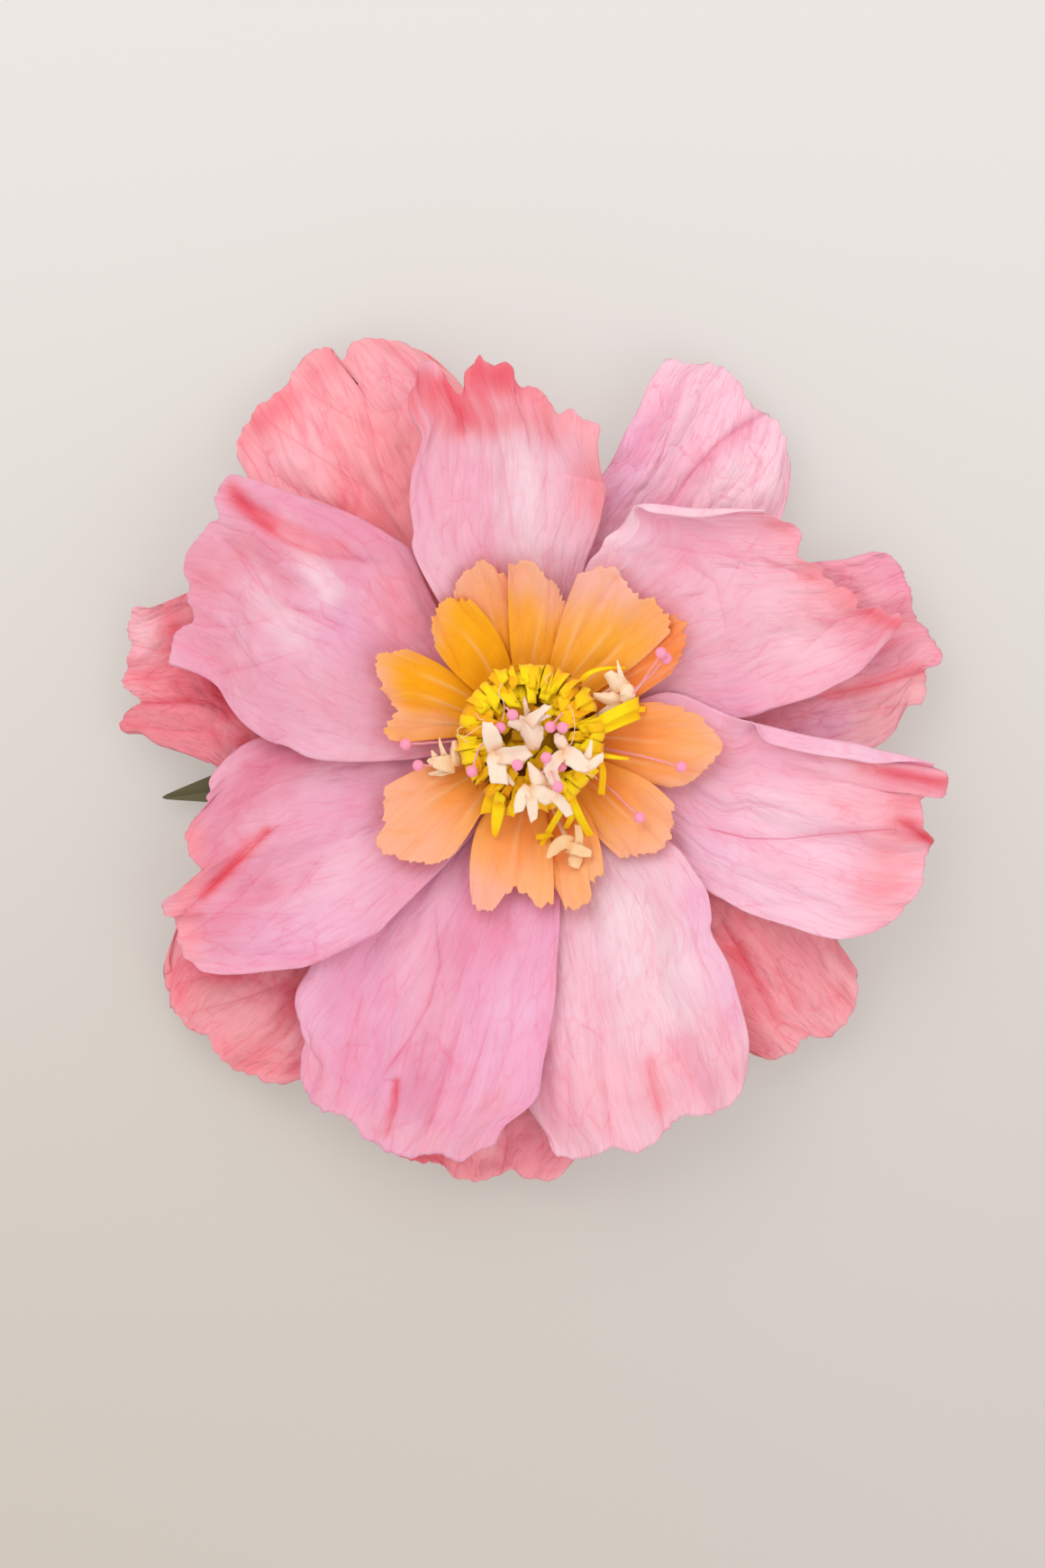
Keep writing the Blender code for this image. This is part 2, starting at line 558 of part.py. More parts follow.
def add_button(base, collection, mat):
    # turned profile of the wound button on its post, from the top down the outside
    top = base + BUTTON_HEIGHT
    foot = DISC_THICK + GAP
    profile = [(0, top), (0.45 * BUTTON_RADIUS, top - 0.03 * BUTTON_HEIGHT),
               (0.82 * BUTTON_RADIUS, top - 0.16 * BUTTON_HEIGHT),
               (BUTTON_RADIUS, top - 0.42 * BUTTON_HEIGHT), (BUTTON_RADIUS, base),
               (POST_RADIUS, base), (POST_RADIUS, foot), (0, foot)]
    mesh = bpy.data.meshes.new("centre_button")
    bm = bmesh.new()
    verts = [bm.verts.new((x, 0, z)) for x, z in profile]
    for a, b in zip(verts, verts[1:]):
        bm.edges.new((a, b))
    bm.to_mesh(mesh)
    bm.free()
    obj = bpy.data.objects.new("centre_button", mesh)
    collection.objects.link(obj)
    screw = obj.modifiers.new("turn", "SCREW")
    screw.steps = 20
    screw.render_steps = 20
    screw.use_merge_vertices = True
    screw.merge_threshold = 0.00001
    screw.use_smooth_shade = True
    return keep(obj, "centre_button", collection, mat)


def wall_radius():
    # the fringe's foot stands clear of the threads that rise beside the button
    return BUTTON_RADIUS + 2 * THREAD_RADIUS + 2 * GAP + PAPER / 2 + 2 * GAP


def fringe_base():
    return orange_top(wall_radius() + 2 * TURN_STEP) + GAP


def fringe_top():
    turns = STRIPS / STRIPS_PER_TURN
    return fringe_base() + FRINGE_HEIGHT + TURN_STEP * turns + 2 * PAPER


def strip_profile(row, turns, loose, chance):
    # distance out from the foot and height over it, for one row of points on a strip
    if row == 0:
        return TURN_STEP * turns, 0.0
    if row == 1:
        return TURN_STEP * turns + PAPER / 2, BAND_HEIGHT
    if loose:
        reach = [(0.38, 0.5), (0.68, 0.68), (1.0, 0.9)][row - 2]
        return (TURN_STEP * turns + FRINGE_REACH * reach[0], FRINGE_HEIGHT * reach[1])
    if row == 2:
        return FRINGE_FLARE + 1.15 * TURN_STEP * turns, 0.52 * FRINGE_HEIGHT - 0.3 * TURN_STEP * turns
    if row == 3:
        return (FRINGE_FLARE * 0.88 + TURN_STEP * turns,
                0.88 * FRINGE_HEIGHT + 0.75 * TURN_STEP * turns)
    return (FRINGE_FLARE * 0.16 + 0.25 * TURN_STEP * turns + chance * 2 * PAPER,
            FRINGE_HEIGHT + TURN_STEP * turns)


def add_fringe(collection, mat):
    # one long strip of paper, cut into narrow strips at the top and wound round the button
    bm = bmesh.new()
    columns = 2 * STRIPS - 1
    rows = 4
    bmesh.ops.create_grid(bm, x_segments=columns, y_segments=rows, size=1)
    chance = random.Random(7)
    jitter = [chance.uniform(0, 1) for _ in range(STRIPS)]
    pitch = 360 / STRIPS_PER_TURN
    base = fringe_base()
    cuts = []
    for face in bm.faces:
        middle = face.calc_center_median()
        column = int((middle.x + 1) / 2 * columns)
        row = int((middle.y + 1) / 2 * rows)
        if column % 2 == 1 and row >= 1:
            cuts.append(face)
    for vert in bm.verts:
        column = round((vert.co.x + 1) / 2 * columns)
        row = round((vert.co.y + 1) / 2 * rows)
        strip = column // 2
        middle = FRINGE_START + (strip + 0.5) * pitch
        side = (column % 2) * 2 - 1
        turns = (strip + 0.5) / STRIPS_PER_TURN
        lean = 0
        loose = False
        for bearing, sideways in LOOSE_STRIPS:
            if abs((middle - bearing + 180) % 360 - 180) < pitch / 2 and turns > 0.3:
                loose = True
                lean = sideways
        out, up = strip_profile(row, turns, loose, jitter[strip])
        radius = wall_radius() + out
        half = pitch * STRIP_SHARE / 2
        if loose and row > 2:
            half = min(half, math.degrees(0.5 * wall_radius() * math.radians(pitch) * 1.4 / radius))
        bearing = middle + side * half
        if row > 2:
            bearing += lean * (row - 2) / 2
        vert.co = polar(bearing, radius, base + up)
    bmesh.ops.delete(bm, geom=cuts, context="FACES")
    bmesh.ops.recalc_face_normals(bm, faces=bm.faces)
    mesh = bpy.data.meshes.new("centre_fringe")
    bm.to_mesh(mesh)
    bm.free()
    obj = bpy.data.objects.new("centre_fringe", mesh)
    collection.objects.link(obj)
    add_paper(obj)
    return keep(shaded(obj), "centre_fringe", collection, mat)


def add_stamen(name, path, collection, mat):
    # a thread that ends in a round pip, one tapered curve
    pip = path[-1]
    way = (pip - path[-2]).normalized()
    points = [(p, 1.0) for p in path[:-1]]
    swell = BEAD_RADIUS / THREAD_RADIUS
    for share in (-0.97, -0.7, 0.0, 0.7, 0.97):
        size = max(math.sqrt(1 - share * share) * swell, 1.0)
        points.append((pip + way * BEAD_RADIUS * share, size))
    curve = bpy.data.curves.new(name, "CURVE")
    curve.dimensions = "3D"
    curve.bevel_depth = THREAD_RADIUS
    curve.bevel_resolution = 1
    curve.use_fill_caps = True
    spline = curve.splines.new("POLY")
    spline.points.add(len(points) - 1)
    for point, (place, size) in zip(spline.points, points):
        point.co = (*place, 1.0)
        point.radius = size
    obj = bpy.data.objects.new(name, curve)
    collection.objects.link(obj)
    return keep(obj, name, collection, mat)


def inner_path(foot, end, height):
    # up between button and fringe, then over to the end point
    radius = BUTTON_RADIUS + GAP + THREAD_RADIUS
    clear = fringe_top() + GAP + 2 * THREAD_RADIUS
    far = math.hypot(end.x, end.y) > wall_radius()
    shoulder = min(end.z, clear) if far else end.z - 3 * BEAD_RADIUS * height
    low = polar(foot, radius, fringe_base() + GAP)
    high = polar(foot, radius, max(shoulder, fringe_base() + BUTTON_HEIGHT * 0.5))
    if far:
        high.z = max(high.z, clear)
    return [low, high]


def add_florets(collection, mat):
    base = fringe_top()
    number = 0
    for foot, bearing, radius, over, spread, lean in INNER_FLORETS:
        number += 1
        cup = polar(bearing, radius * HEAD_UNIT, base + over * HEAD_UNIT)
        path = inner_path(foot, cup, 0.0)
        path[1].z = cup.z - 1.2 * HEAD_UNIT
        if radius * HEAD_UNIT > wall_radius():
            path[1].z = cup.z
            path[1] = path[1].lerp(cup, 0.06)
        add_floret("floret_%d" % number, path + [cup], bearing, lean, spread * HEAD_UNIT, collection,
                   mat)
    for foot, bearing, radius, over, spread, lean in OUTER_FLORETS:
        number += 1
        reach = radius * ORANGE_UNIT
        start = outer_foot(foot, STALK_RADIUS)
        cup = polar(bearing, reach, orange_top(reach) + over * HEAD_UNIT)
        low = polar(foot, start, orange_top(start) + GAP + STALK_RADIUS)
        third = start + (reach - start) * 0.5
        mid = polar(foot + (bearing - foot) * 0.6, third, orange_top(third) + GAP + STALK_RADIUS)
        add_floret("floret_%d" % number, [low, mid, cup], bearing, lean, spread * HEAD_UNIT,
                   collection, mat)


def outer_foot(bearing, thickness):
    # where a thread or stalk of this radius stands against the fringe's outermost turn
    turns = (bearing - FRINGE_START) % 360 / 360
    if turns + 1 < STRIPS / STRIPS_PER_TURN:
        turns += 1
    turns += 0.5 / STRIPS_PER_TURN
    return wall_radius() + TURN_STEP * turns + PAPER / 2 + GAP + thickness


def add_floret(name, path, bearing, lean, spread, collection, mat):
    # a stalk that opens into a funnel with four lobes, lofted ring by ring
    upward = polar(bearing, math.sin(math.radians(lean)), math.cos(math.radians(lean)))
    cup = path[-1]
    stations = []
    for i, place in enumerate(path[:-1]):
        way = (path[i + 1] - place).normalized()
        stations.append((place, way, STALK_RADIUS, STALK_RADIUS))
    depth = FLORET_DEPTH
    waist = 0.17 * spread
    stations += [
        (cup, upward, waist, waist),
        (cup + upward * 0.5 * depth, upward, 0.5 * spread, 0.38 * spread),
        (cup + upward * depth, upward, spread, 0.55 * spread),
        (cup + upward * (depth + PAPER), upward, spread, 0.55 * spread),
        (cup + upward * (0.5 * depth + 1.3 * PAPER), upward, 0.46 * spread, 0.34 * spread),
        (cup + upward * (1.6 * PAPER), upward, 0.09 * spread, 0.09 * spread),
    ]
    bm = bmesh.new()
    rings = []
    sides = 8
    across = polar(bearing + 90, 1.0)
    for place, way, long, short in stations:
        across = (across - way * across.dot(way)).normalized()
        other = way.cross(across)
        ring = []
        for k in range(sides):
            angle = math.tau * k / sides
            size = long if k % 2 == 0 else short
            ring.append(bm.verts.new(place + (across * math.cos(angle)
                                              + other * math.sin(angle)) * size))
        rings.append(ring)
    for a, b in zip(rings, rings[1:]):
        for k in range(sides):
            bm.faces.new((a[k], a[(k + 1) % sides], b[(k + 1) % sides], b[k]))
    bm.faces.new(list(reversed(rings[0])))
    bm.faces.new(rings[-1])
    bmesh.ops.recalc_face_normals(bm, faces=bm.faces)
    mesh = bpy.data.meshes.new(name)
    bm.to_mesh(mesh)
    bm.free()
    obj = bpy.data.objects.new(name, mesh)
    collection.objects.link(obj)
    return keep(shaded(obj), name, collection, mat)


def add_stamens(collection, mat):
    number = 0
    base = fringe_top()
    clear = base + GAP + THREAD_RADIUS
    for foot, bearing, radius, over in INNER_STAMENS:
        number += 1
        pip = polar(bearing, radius * HEAD_UNIT, base + over * HEAD_UNIT)
        start = BUTTON_RADIUS + GAP + THREAD_RADIUS
        low = polar(foot, start, fringe_base() + GAP)
        path = [low]
        if radius * HEAD_UNIT > wall_radius() + BEAD_RADIUS:
            path.append(polar(foot, start, min(pip.z, clear + HEAD_UNIT)))
            halfway = (start + pip.to_2d().length) / 2
            turned = foot + (bearing - foot) * 0.45
            path.append(polar(turned, halfway, max(clear, pip.z - 0.3 * HEAD_UNIT)))
        else:
            path.append(polar(foot, start, pip.z - 2.4 * BEAD_RADIUS))
            aside = pip - path[-1]
            path.append(path[-1] + Vector((aside.x * 0.25, aside.y * 0.25, aside.z * 0.55)))
        add_stamen("stamen_%02d" % number, path + [pip], collection, mat)
    for foot, bearing, radius, over in OUTER_STAMENS:
        number += 1
        start = outer_foot(foot, THREAD_RADIUS)
        reach = radius * ORANGE_UNIT
        pip = polar(bearing, reach, orange_top(reach) + over * HEAD_UNIT)
        path = []
        for share, part in ((0.0, 0.0), (0.3, 0.25), (0.65, 0.6)):
            r = start + (reach - start) * share
            lift = GAP + THREAD_RADIUS + (over - 1.5) * HEAD_UNIT * share * share
            path.append(polar(foot + (bearing - foot) * part, r, orange_top(r) + lift))
        add_stamen("stamen_%02d" % number, path + [pip], collection, mat)


def main():
    for obj in list(bpy.data.objects):
        bpy.data.objects.remove(obj, do_unlink=True)
    flower = bpy.data.collections.new("crepe_paper_flower")
    bpy.context.scene.collection.children.link(flower)

    add_disc(flower, material("backing_card", (0.74, 0.66, 0.52), 0.9))

    leaf_rows = [0.0, 0.08, 0.25, 0.5, 0.75, 0.92, 1.0]
    for i, shape in enumerate(LEAVES):
        shape = dict(shape, lift=0.0)
        leaf = Petal(shape, LEAF_UNIT, leaf_height, lambda r: 0.0, 0.0, 30, 0)
        add_petal("leaf_%d" % (i + 1), leaf, 4, leaf_rows, flower,
                  material("leaf_%d" % (i + 1), (0.16, 0.155, 0.08), 0.85))

    pink_rows = [0.0, 0.07, 0.2, 0.38, 0.58, 0.76, 0.9, 1.0]
    for i, shape in enumerate(BACK_PETALS):
        petal = Petal(shape, BACK_UNIT, back_height, back_tilt, RUFFLE_BACK, 30, 20 + i)
        add_petal("back_petal_%d" % (i + 1), petal, PINK_COLUMNS, pink_rows, flower,
                  material("back_petal_%d" % (i + 1), (0.86, 0.30, 0.32), 0.8))
    for i, shape in enumerate(FRONT_PETALS):
        petal = Petal(shape, FRONT_UNIT, front_height, front_tilt, RUFFLE_FRONT, 30, 40 + i)
        add_petal("front_petal_%d" % (i + 1), petal, PINK_COLUMNS, pink_rows, flower,
                  material("front_petal_%d" % (i + 1), (0.89, 0.45, 0.58), 0.8))

    orange_rows = [0.0, 0.14, 0.36, 0.6, 0.82, 1.0]
    for i, shape in enumerate(ORANGE_PETALS):
        height, tilt_at = orange_height, orange_tilt
        if shape.get("low"):
            height, tilt_at = low_orange_height, lambda r: 0.0
        petal = Petal(shape, ORANGE_UNIT, height, tilt_at, RUFFLE_ORANGE, 18, 60 + i)
        add_petal("orange_petal_%02d" % (i + 1), petal, ORANGE_COLUMNS, orange_rows, flower,
                  material("orange_petal_%02d" % (i + 1), (1.0, 0.40, 0.10), 0.8))

    add_button(fringe_base(), flower, material("centre_button", (0.58, 0.30, 0.01), 0.85))
    add_fringe(flower, material("centre_fringe", (1.0, 0.68, 0.0), 0.8))
    add_stamens(flower, material("stamen", (0.95, 0.30, 0.48), 0.6))
    add_florets(flower, material("floret", (0.94, 0.75, 0.60), 0.8))


main()
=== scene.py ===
import math
import random

import bmesh
import bpy
import numpy as np
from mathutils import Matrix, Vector, noise


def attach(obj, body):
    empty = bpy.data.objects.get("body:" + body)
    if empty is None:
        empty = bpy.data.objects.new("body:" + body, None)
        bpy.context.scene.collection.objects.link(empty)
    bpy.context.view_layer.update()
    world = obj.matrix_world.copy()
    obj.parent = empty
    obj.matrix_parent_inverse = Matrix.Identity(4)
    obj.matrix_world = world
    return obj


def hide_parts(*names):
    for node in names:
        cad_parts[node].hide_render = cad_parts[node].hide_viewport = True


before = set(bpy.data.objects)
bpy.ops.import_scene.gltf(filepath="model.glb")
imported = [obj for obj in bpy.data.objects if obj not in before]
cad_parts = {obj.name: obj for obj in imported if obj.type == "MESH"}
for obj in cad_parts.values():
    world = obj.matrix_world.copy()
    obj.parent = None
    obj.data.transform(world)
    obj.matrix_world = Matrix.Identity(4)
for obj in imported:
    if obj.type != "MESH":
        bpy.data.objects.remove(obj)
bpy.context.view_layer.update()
mm = 0.001
noise.seed_set(7)   # noise_vector would start from the clock

# Crepe paper flower, face up on its card backing. Bearings are degrees from the right-hand side,
# counterclockwise seen from above, and radii are millimetres from the middle of the flower.


def paint(colour):
    # a colour given as 0 to 255, made linear
    return np.array([((c / 255 + 0.055) / 1.055) ** 2.4 for c in colour])


# Helpers for shaders

class Socket:
    # a shader value that takes part in Python sums
    def __init__(self, finish, link):
        self.finish = finish
        self.link = link

    def sum(self, operation, a, b):
        return self.finish.node("ShaderNodeMath", {"operation": operation}, {0: a, 1: b})

    def __add__(self, other):
        return self.sum("ADD", self, other)

    def __radd__(self, other):
        return self.sum("ADD", other, self)

    def __sub__(self, other):
        return self.sum("SUBTRACT", self, other)

    def __rsub__(self, other):
        return self.sum("SUBTRACT", other, self)

    def __mul__(self, other):
        return self.sum("MULTIPLY", self, other)

    def __rmul__(self, other):
        return self.sum("MULTIPLY", other, self)

    def __abs__(self):
        return self.sum("ABSOLUTE", self, 0.0)


class Finish:
    # one material and the nodes that are added to it
    def __init__(self, name, roughness=0.8, sheen=0.0):
        self.material = bpy.data.materials.new(name)
        self.material.use_nodes = True
        self.tree = self.material.node_tree
        self.shader = self.tree.nodes["Principled BSDF"]
        self.shader.inputs["Roughness"].default_value = roughness
        self.shader.inputs["Specular IOR Level"].default_value = 0.25
        self.shader.inputs["Sheen Weight"].default_value = sheen
        self.shader.inputs["Sheen Roughness"].default_value = 0.5

    def node(self, kind, settings, sockets, output=0):
        made = self.tree.nodes.new(kind)
        for name, value in settings.items():
            setattr(made, name, value)
        for name, value in sockets.items():
            self.feed(made.inputs[name], value)
        return Socket(self, made.outputs[output])

    def feed(self, socket, value):
        if isinstance(value, Socket):
            self.tree.links.new(value.link, socket)
        elif isinstance(value, np.ndarray) and socket.type == "RGBA":
            socket.default_value = (*value, 1.0)
        else:
            socket.default_value = value

    def uv(self):
        return self.node("ShaderNodeUVMap", {"uv_map": "sheet"}, {})

    def place(self):
        return self.node("ShaderNodeTexCoord", {}, {}, "Object")

    def attribute(self, name, output="Color"):
        return self.node("ShaderNodeAttribute", {"attribute_name": name}, {}, output)

    def stretched(self, vector, scale, turn=0.0, shift=0.0):
        return self.node("ShaderNodeMapping", {}, {
            "Vector": vector, "Scale": scale, "Rotation": (0, 0, turn), "Location": (shift, shift, shift)})

    def grain(self, vector, scale=1.0, detail=2.0, rough=0.5, warp=0.0):
        return self.node("ShaderNodeTexNoise", {}, {
            "Vector": vector, "Scale": scale, "Detail": detail, "Roughness": rough,
            "Distortion": warp}, "Fac")

    def warped(self, vector, scale, much, shift=0.0):
        # the same place, pushed about a little by noise
        push = self.node("ShaderNodeTexNoise", {}, {
            "Vector": self.stretched(vector, scale, 0.0, shift), "Scale": 1.0, "Detail": 2.0}, "Color")
        return self.node("ShaderNodeVectorMath", {"operation": "MULTIPLY_ADD"}, {
            0: push, 1: (much, much, 0.0), 2: vector})

    def facets(self, vector, feature="F1"):
        # crumpled facets: 0 in the middle of each, or 0 on its edges
        return self.node("ShaderNodeTexVoronoi", {"feature": feature}, {
            "Vector": vector, "Scale": 1.0}, "Distance")

    def drawnFold(self):
        # 1 on a sharp fold that is drawn on the sheet, 0 beside it
        drawn = self.attribute("fold", "Vector")
        away = abs(self.node("ShaderNodeSeparateXYZ", {}, {0: drawn}, 0))
        dark = self.node("ShaderNodeSeparateXYZ", {}, {0: drawn}, 1)
        return (1 - self.ramp(away, 0.15, 1.0)) * dark

    def ramp(self, value, low, high):
        # 0 at low, 1 at high, eased
        return self.node("ShaderNodeMapRange", {"interpolation_type": "SMOOTHSTEP"}, {
            "Value": value, "From Min": low, "From Max": high}, "Result")

    def mix(self, factor, a, b, blend="MIX"):
        return self.node("ShaderNodeMix", {"data_type": "RGBA", "blend_type": blend}, {
            0: factor, 6: a, 7: b}, 2)

    def bump(self, height):
        # height in metres
        normal = self.node("ShaderNodeBump", {}, {"Height": height, "Distance": 1.0, "Strength": 1.0})
        self.feed(self.shader.inputs["Normal"], normal)

    def put(self, name, value):
        self.feed(self.shader.inputs[name], value)


# Helpers for shapes

def ease(x):
    x = np.clip(x, 0.0, 1.0)
    return x * x * (3 - 2 * x)


def curveThrough(points, x):
    # height at x on a soft curve through (x, height) points
    px = np.array([p[0] for p in points], float)
    py = np.array([p[1] for p in points], float)
    before = np.maximum(np.arange(len(px)) - 1, 0)
    after = np.minimum(np.arange(len(px)) + 1, len(px) - 1)
    slope = (py[after] - py[before]) / (px[after] - px[before])
    i = np.clip(np.searchsorted(px, x, side="right") - 1, 0, len(px) - 2)
    h = px[i + 1] - px[i]
    t = np.clip((x - px[i]) / h, 0.0, 1.0)
    return (py[i] * (1 + 2 * t) * (1 - t) ** 2 + slope[i] * h * t * (1 - t) ** 2
            + py[i + 1] * t * t * (3 - 2 * t) - slope[i + 1] * h * t * t * (1 - t))


def polar(bearing, radius, height=0.0):
    angle = math.radians(bearing)
    return Vector((radius * math.cos(angle), radius * math.sin(angle), height))


class Line:
    # a soft line through given (bearing, radius) points, read by its share of length
    def __init__(self, points, steps=8):
        fine = []
        for k in range(len(points) - 1):
            a = points[max(k - 1, 0)]
            b, c = points[k], points[k + 1]
            d = points[min(k + 2, len(points) - 1)]
            for j in range(steps):
                t = j / steps
                fine.append([0.5 * (2 * b[i] + (c[i] - a[i]) * t
                                    + (2 * a[i] - 5 * b[i] + 4 * c[i] - d[i]) * t * t
                                    + (3 * b[i] - a[i] - 3 * c[i] + d[i]) * t ** 3) for i in (0, 1)])
        fine.append(list(points[-1]))
        fine = np.array(fine, float)
        self.bearing, self.radius = fine[:, 0], fine[:, 1]
        x = self.radius * np.cos(np.radians(self.bearing))
        y = self.radius * np.sin(np.radians(self.bearing))
        steps = np.hypot(np.diff(x), np.diff(y))
        self.length = steps.sum()
        self.share = np.concatenate([[0.0], np.cumsum(steps)]) / self.length

    def at(self, share):
        share = min(max(share, 0.0), 1.0)
        return Vector((np.interp(share, self.share, self.bearing),
                       np.interp(share, self.share, self.radius)))


def nearLine(x, y, points):
    # distance to a drawn line in millimetres, the side it is on and the share along it
    spots = [polar(b, r) for b, r in points]
    best = np.full(len(x), 1e9)
    side = np.ones(len(x))
    share = np.zeros(len(x))
    for k in range(len(spots) - 1):
        a, b = spots[k], spots[k + 1]
        dx, dy = b.x - a.x, b.y - a.y
        t = np.clip(((x - a.x) * dx + (y - a.y) * dy) / (dx * dx + dy * dy), 0, 1)
        away = np.hypot(x - a.x - t * dx, y - a.y - t * dy)
        closer = away < best
        best = np.where(closer, away, best)
        side = np.where(closer, np.sign(dx * (y - a.y) - dy * (x - a.x)), side)
        share = np.where(closer, (k + t) / (len(spots) - 1), share)
    return best, side, share


def facets(across, along, size, stretch, seed, turn=0.0):
    # crumpled paper: height of each facet, and how far its nearest sharp edge is
    c, s = math.cos(turn) / size, math.sin(turn) / size
    height = np.empty(len(across))
    edge = np.empty(len(across))
    for i in range(len(across)):
        a, b = across[i], along[i]
        near = noise.voronoi(Vector((a * c + b * s, (b * c - a * s) / stretch, seed)))[0]
        height[i] = near[0]
        edge[i] = near[1] - near[0]
    return height, edge


def streaks(across, along, size, stretch, seed):
    # long folds that run out along the sheet
    out = np.empty(len(across))
    for i in range(len(across)):
        out[i] = noise.noise(Vector((across[i] / size, along[i] / stretch, seed)))
    return out


# The layers under the petals, as in the solids: sizes in metres, rises as (radius, height) in
# millimetres, angles in degrees

layerForm = {
    "sheet": 0.0004, "gap": 0.0003, "card": 0.002,
    "backRise": [(4, 0), (20, 0.8), (35, 3.0), (50, 6.0), (65, 8.0), (80, 8.6), (95, 7.2), (114, 4.0)],
    "frontRise": [(4, 0), (20, 0.2), (35, 1.0), (50, 2.2), (62, 3.2), (80, 4.4), (110, 6.5)],
    "orangeRise": [(4, 0), (20, 0), (35, 0.5), (50, 1.0)],
    "leafRise": [(4, 0), (24, 0), (50, 1.5), (75, 2.6), (102, 2.2)],
    "seat": 0.00076, "halfPink": 35.0, "halfOrange": 22.0,
    "backClosest": 42, "frontClosest": 41, "orangeClosest": 29,
    "backTilt": 0.06, "frontTilt": 0.11, "orangeTilt": 0.06, "clawSpread": 1.25,
    "tiltStart": 8, "tiltRun": 52, "overSheet": 0.6,
    "ruffleRoom": 0.00125, "ruffleStart": 18, "ruffleRun": 20,
}


def tilt(r, layer):
    # rise per degree across a petal, so that each passes over one neighbour and under the next
    form = layerForm
    inner = form["clawSpread"] * (form["sheet"] + form["gap"]) / form[layer + "Closest"]
    share = ease((r / mm - form["tiltStart"]) / form["tiltRun"])
    return inner + (form[layer + "Tilt"] * mm - inner) * share


def backTilt(r):
    return tilt(r, "back")


def frontTilt(r):
    return tilt(r, "front")


def orangeTilt(r):
    return tilt(r, "orange")


def flat(r):
    return 0.0 * r


def leafHeight(r):
    return layerForm["card"] + layerForm["gap"] + layerForm["sheet"] / 2 + (
        mm * curveThrough(layerForm["leafRise"], r / mm))


def backHeight(r):
    form = layerForm
    foot = form["card"] + form["seat"] + form["gap"] + form["overSheet"] * form["sheet"]
    return foot + form["halfPink"] * backTilt(r) + mm * curveThrough(form["backRise"], r / mm)


def frontHeight(r):
    return backHeight(r) + layerForm["halfPink"] * (backTilt(r) + frontTilt(r)) + (
        layerForm["seat"] + mm * curveThrough(layerForm["frontRise"], r / mm))


def lowOrangeHeight(r):
    return frontHeight(r) + layerForm["halfPink"] * frontTilt(r) + (
        layerForm["seat"] + mm * curveThrough(layerForm["orangeRise"], r / mm))


def orangeHeight(r):
    return lowOrangeHeight(r) + layerForm["halfOrange"] * orangeTilt(r) + layerForm["seat"]


def orangeTop(r):
    form = layerForm
    ruffle = form["ruffleRoom"] * ease((r / mm - form["ruffleStart"]) / form["ruffleRun"])
    return orangeHeight(r) + form["halfOrange"] * orangeTilt(r) + form["overSheet"] * form["sheet"] + ruffle


# Leaves and petals

petalKinds = {
    "front": {"columns": 84, "rows": 104, "height": frontHeight, "tilt": frontTilt, "ruffle": 0.0014,
              "start": 30, "seed": 40, "paper": 0.00024, "crumple": 1.0, "teeth": (1.1, 3.6)},
    "back": {"columns": 76, "rows": 92, "height": backHeight, "tilt": backTilt, "ruffle": 0.0009,
             "start": 30, "seed": 20, "paper": 0.00024, "crumple": 1.25, "teeth": (1.1, 3.4)},
    "orange": {"columns": 70, "rows": 52, "height": orangeHeight, "tilt": orangeTilt, "ruffle": 0.0006,
               "start": 18, "seed": 60, "paper": 0.00018, "crumple": 0.24, "teeth": (1.7, 2.3)},
    "lowOrange": {"columns": 70, "rows": 52, "height": lowOrangeHeight, "tilt": flat,
                  "ruffle": 0.0005, "start": 18, "seed": 60, "paper": 0.00018, "crumple": 0.16,
                  "teeth": (1.7, 2.3)},
    "leaf": {"columns": 24, "rows": 80, "height": leafHeight, "tilt": flat, "ruffle": 0.0,
             "start": 30, "seed": 0, "paper": 0.00026, "crumple": 0.35, "teeth": (0.15, 3.0)},
}

# listed colours
pale, whitish, lavender = (248, 203, 220), (248, 224, 232), (240, 172, 210)
rose, blush, coral = (240, 152, 182), (250, 180, 194), (250, 150, 158)
deepCoral, red, darkRed = (244, 116, 130), (236, 84, 100), (206, 48, 70)
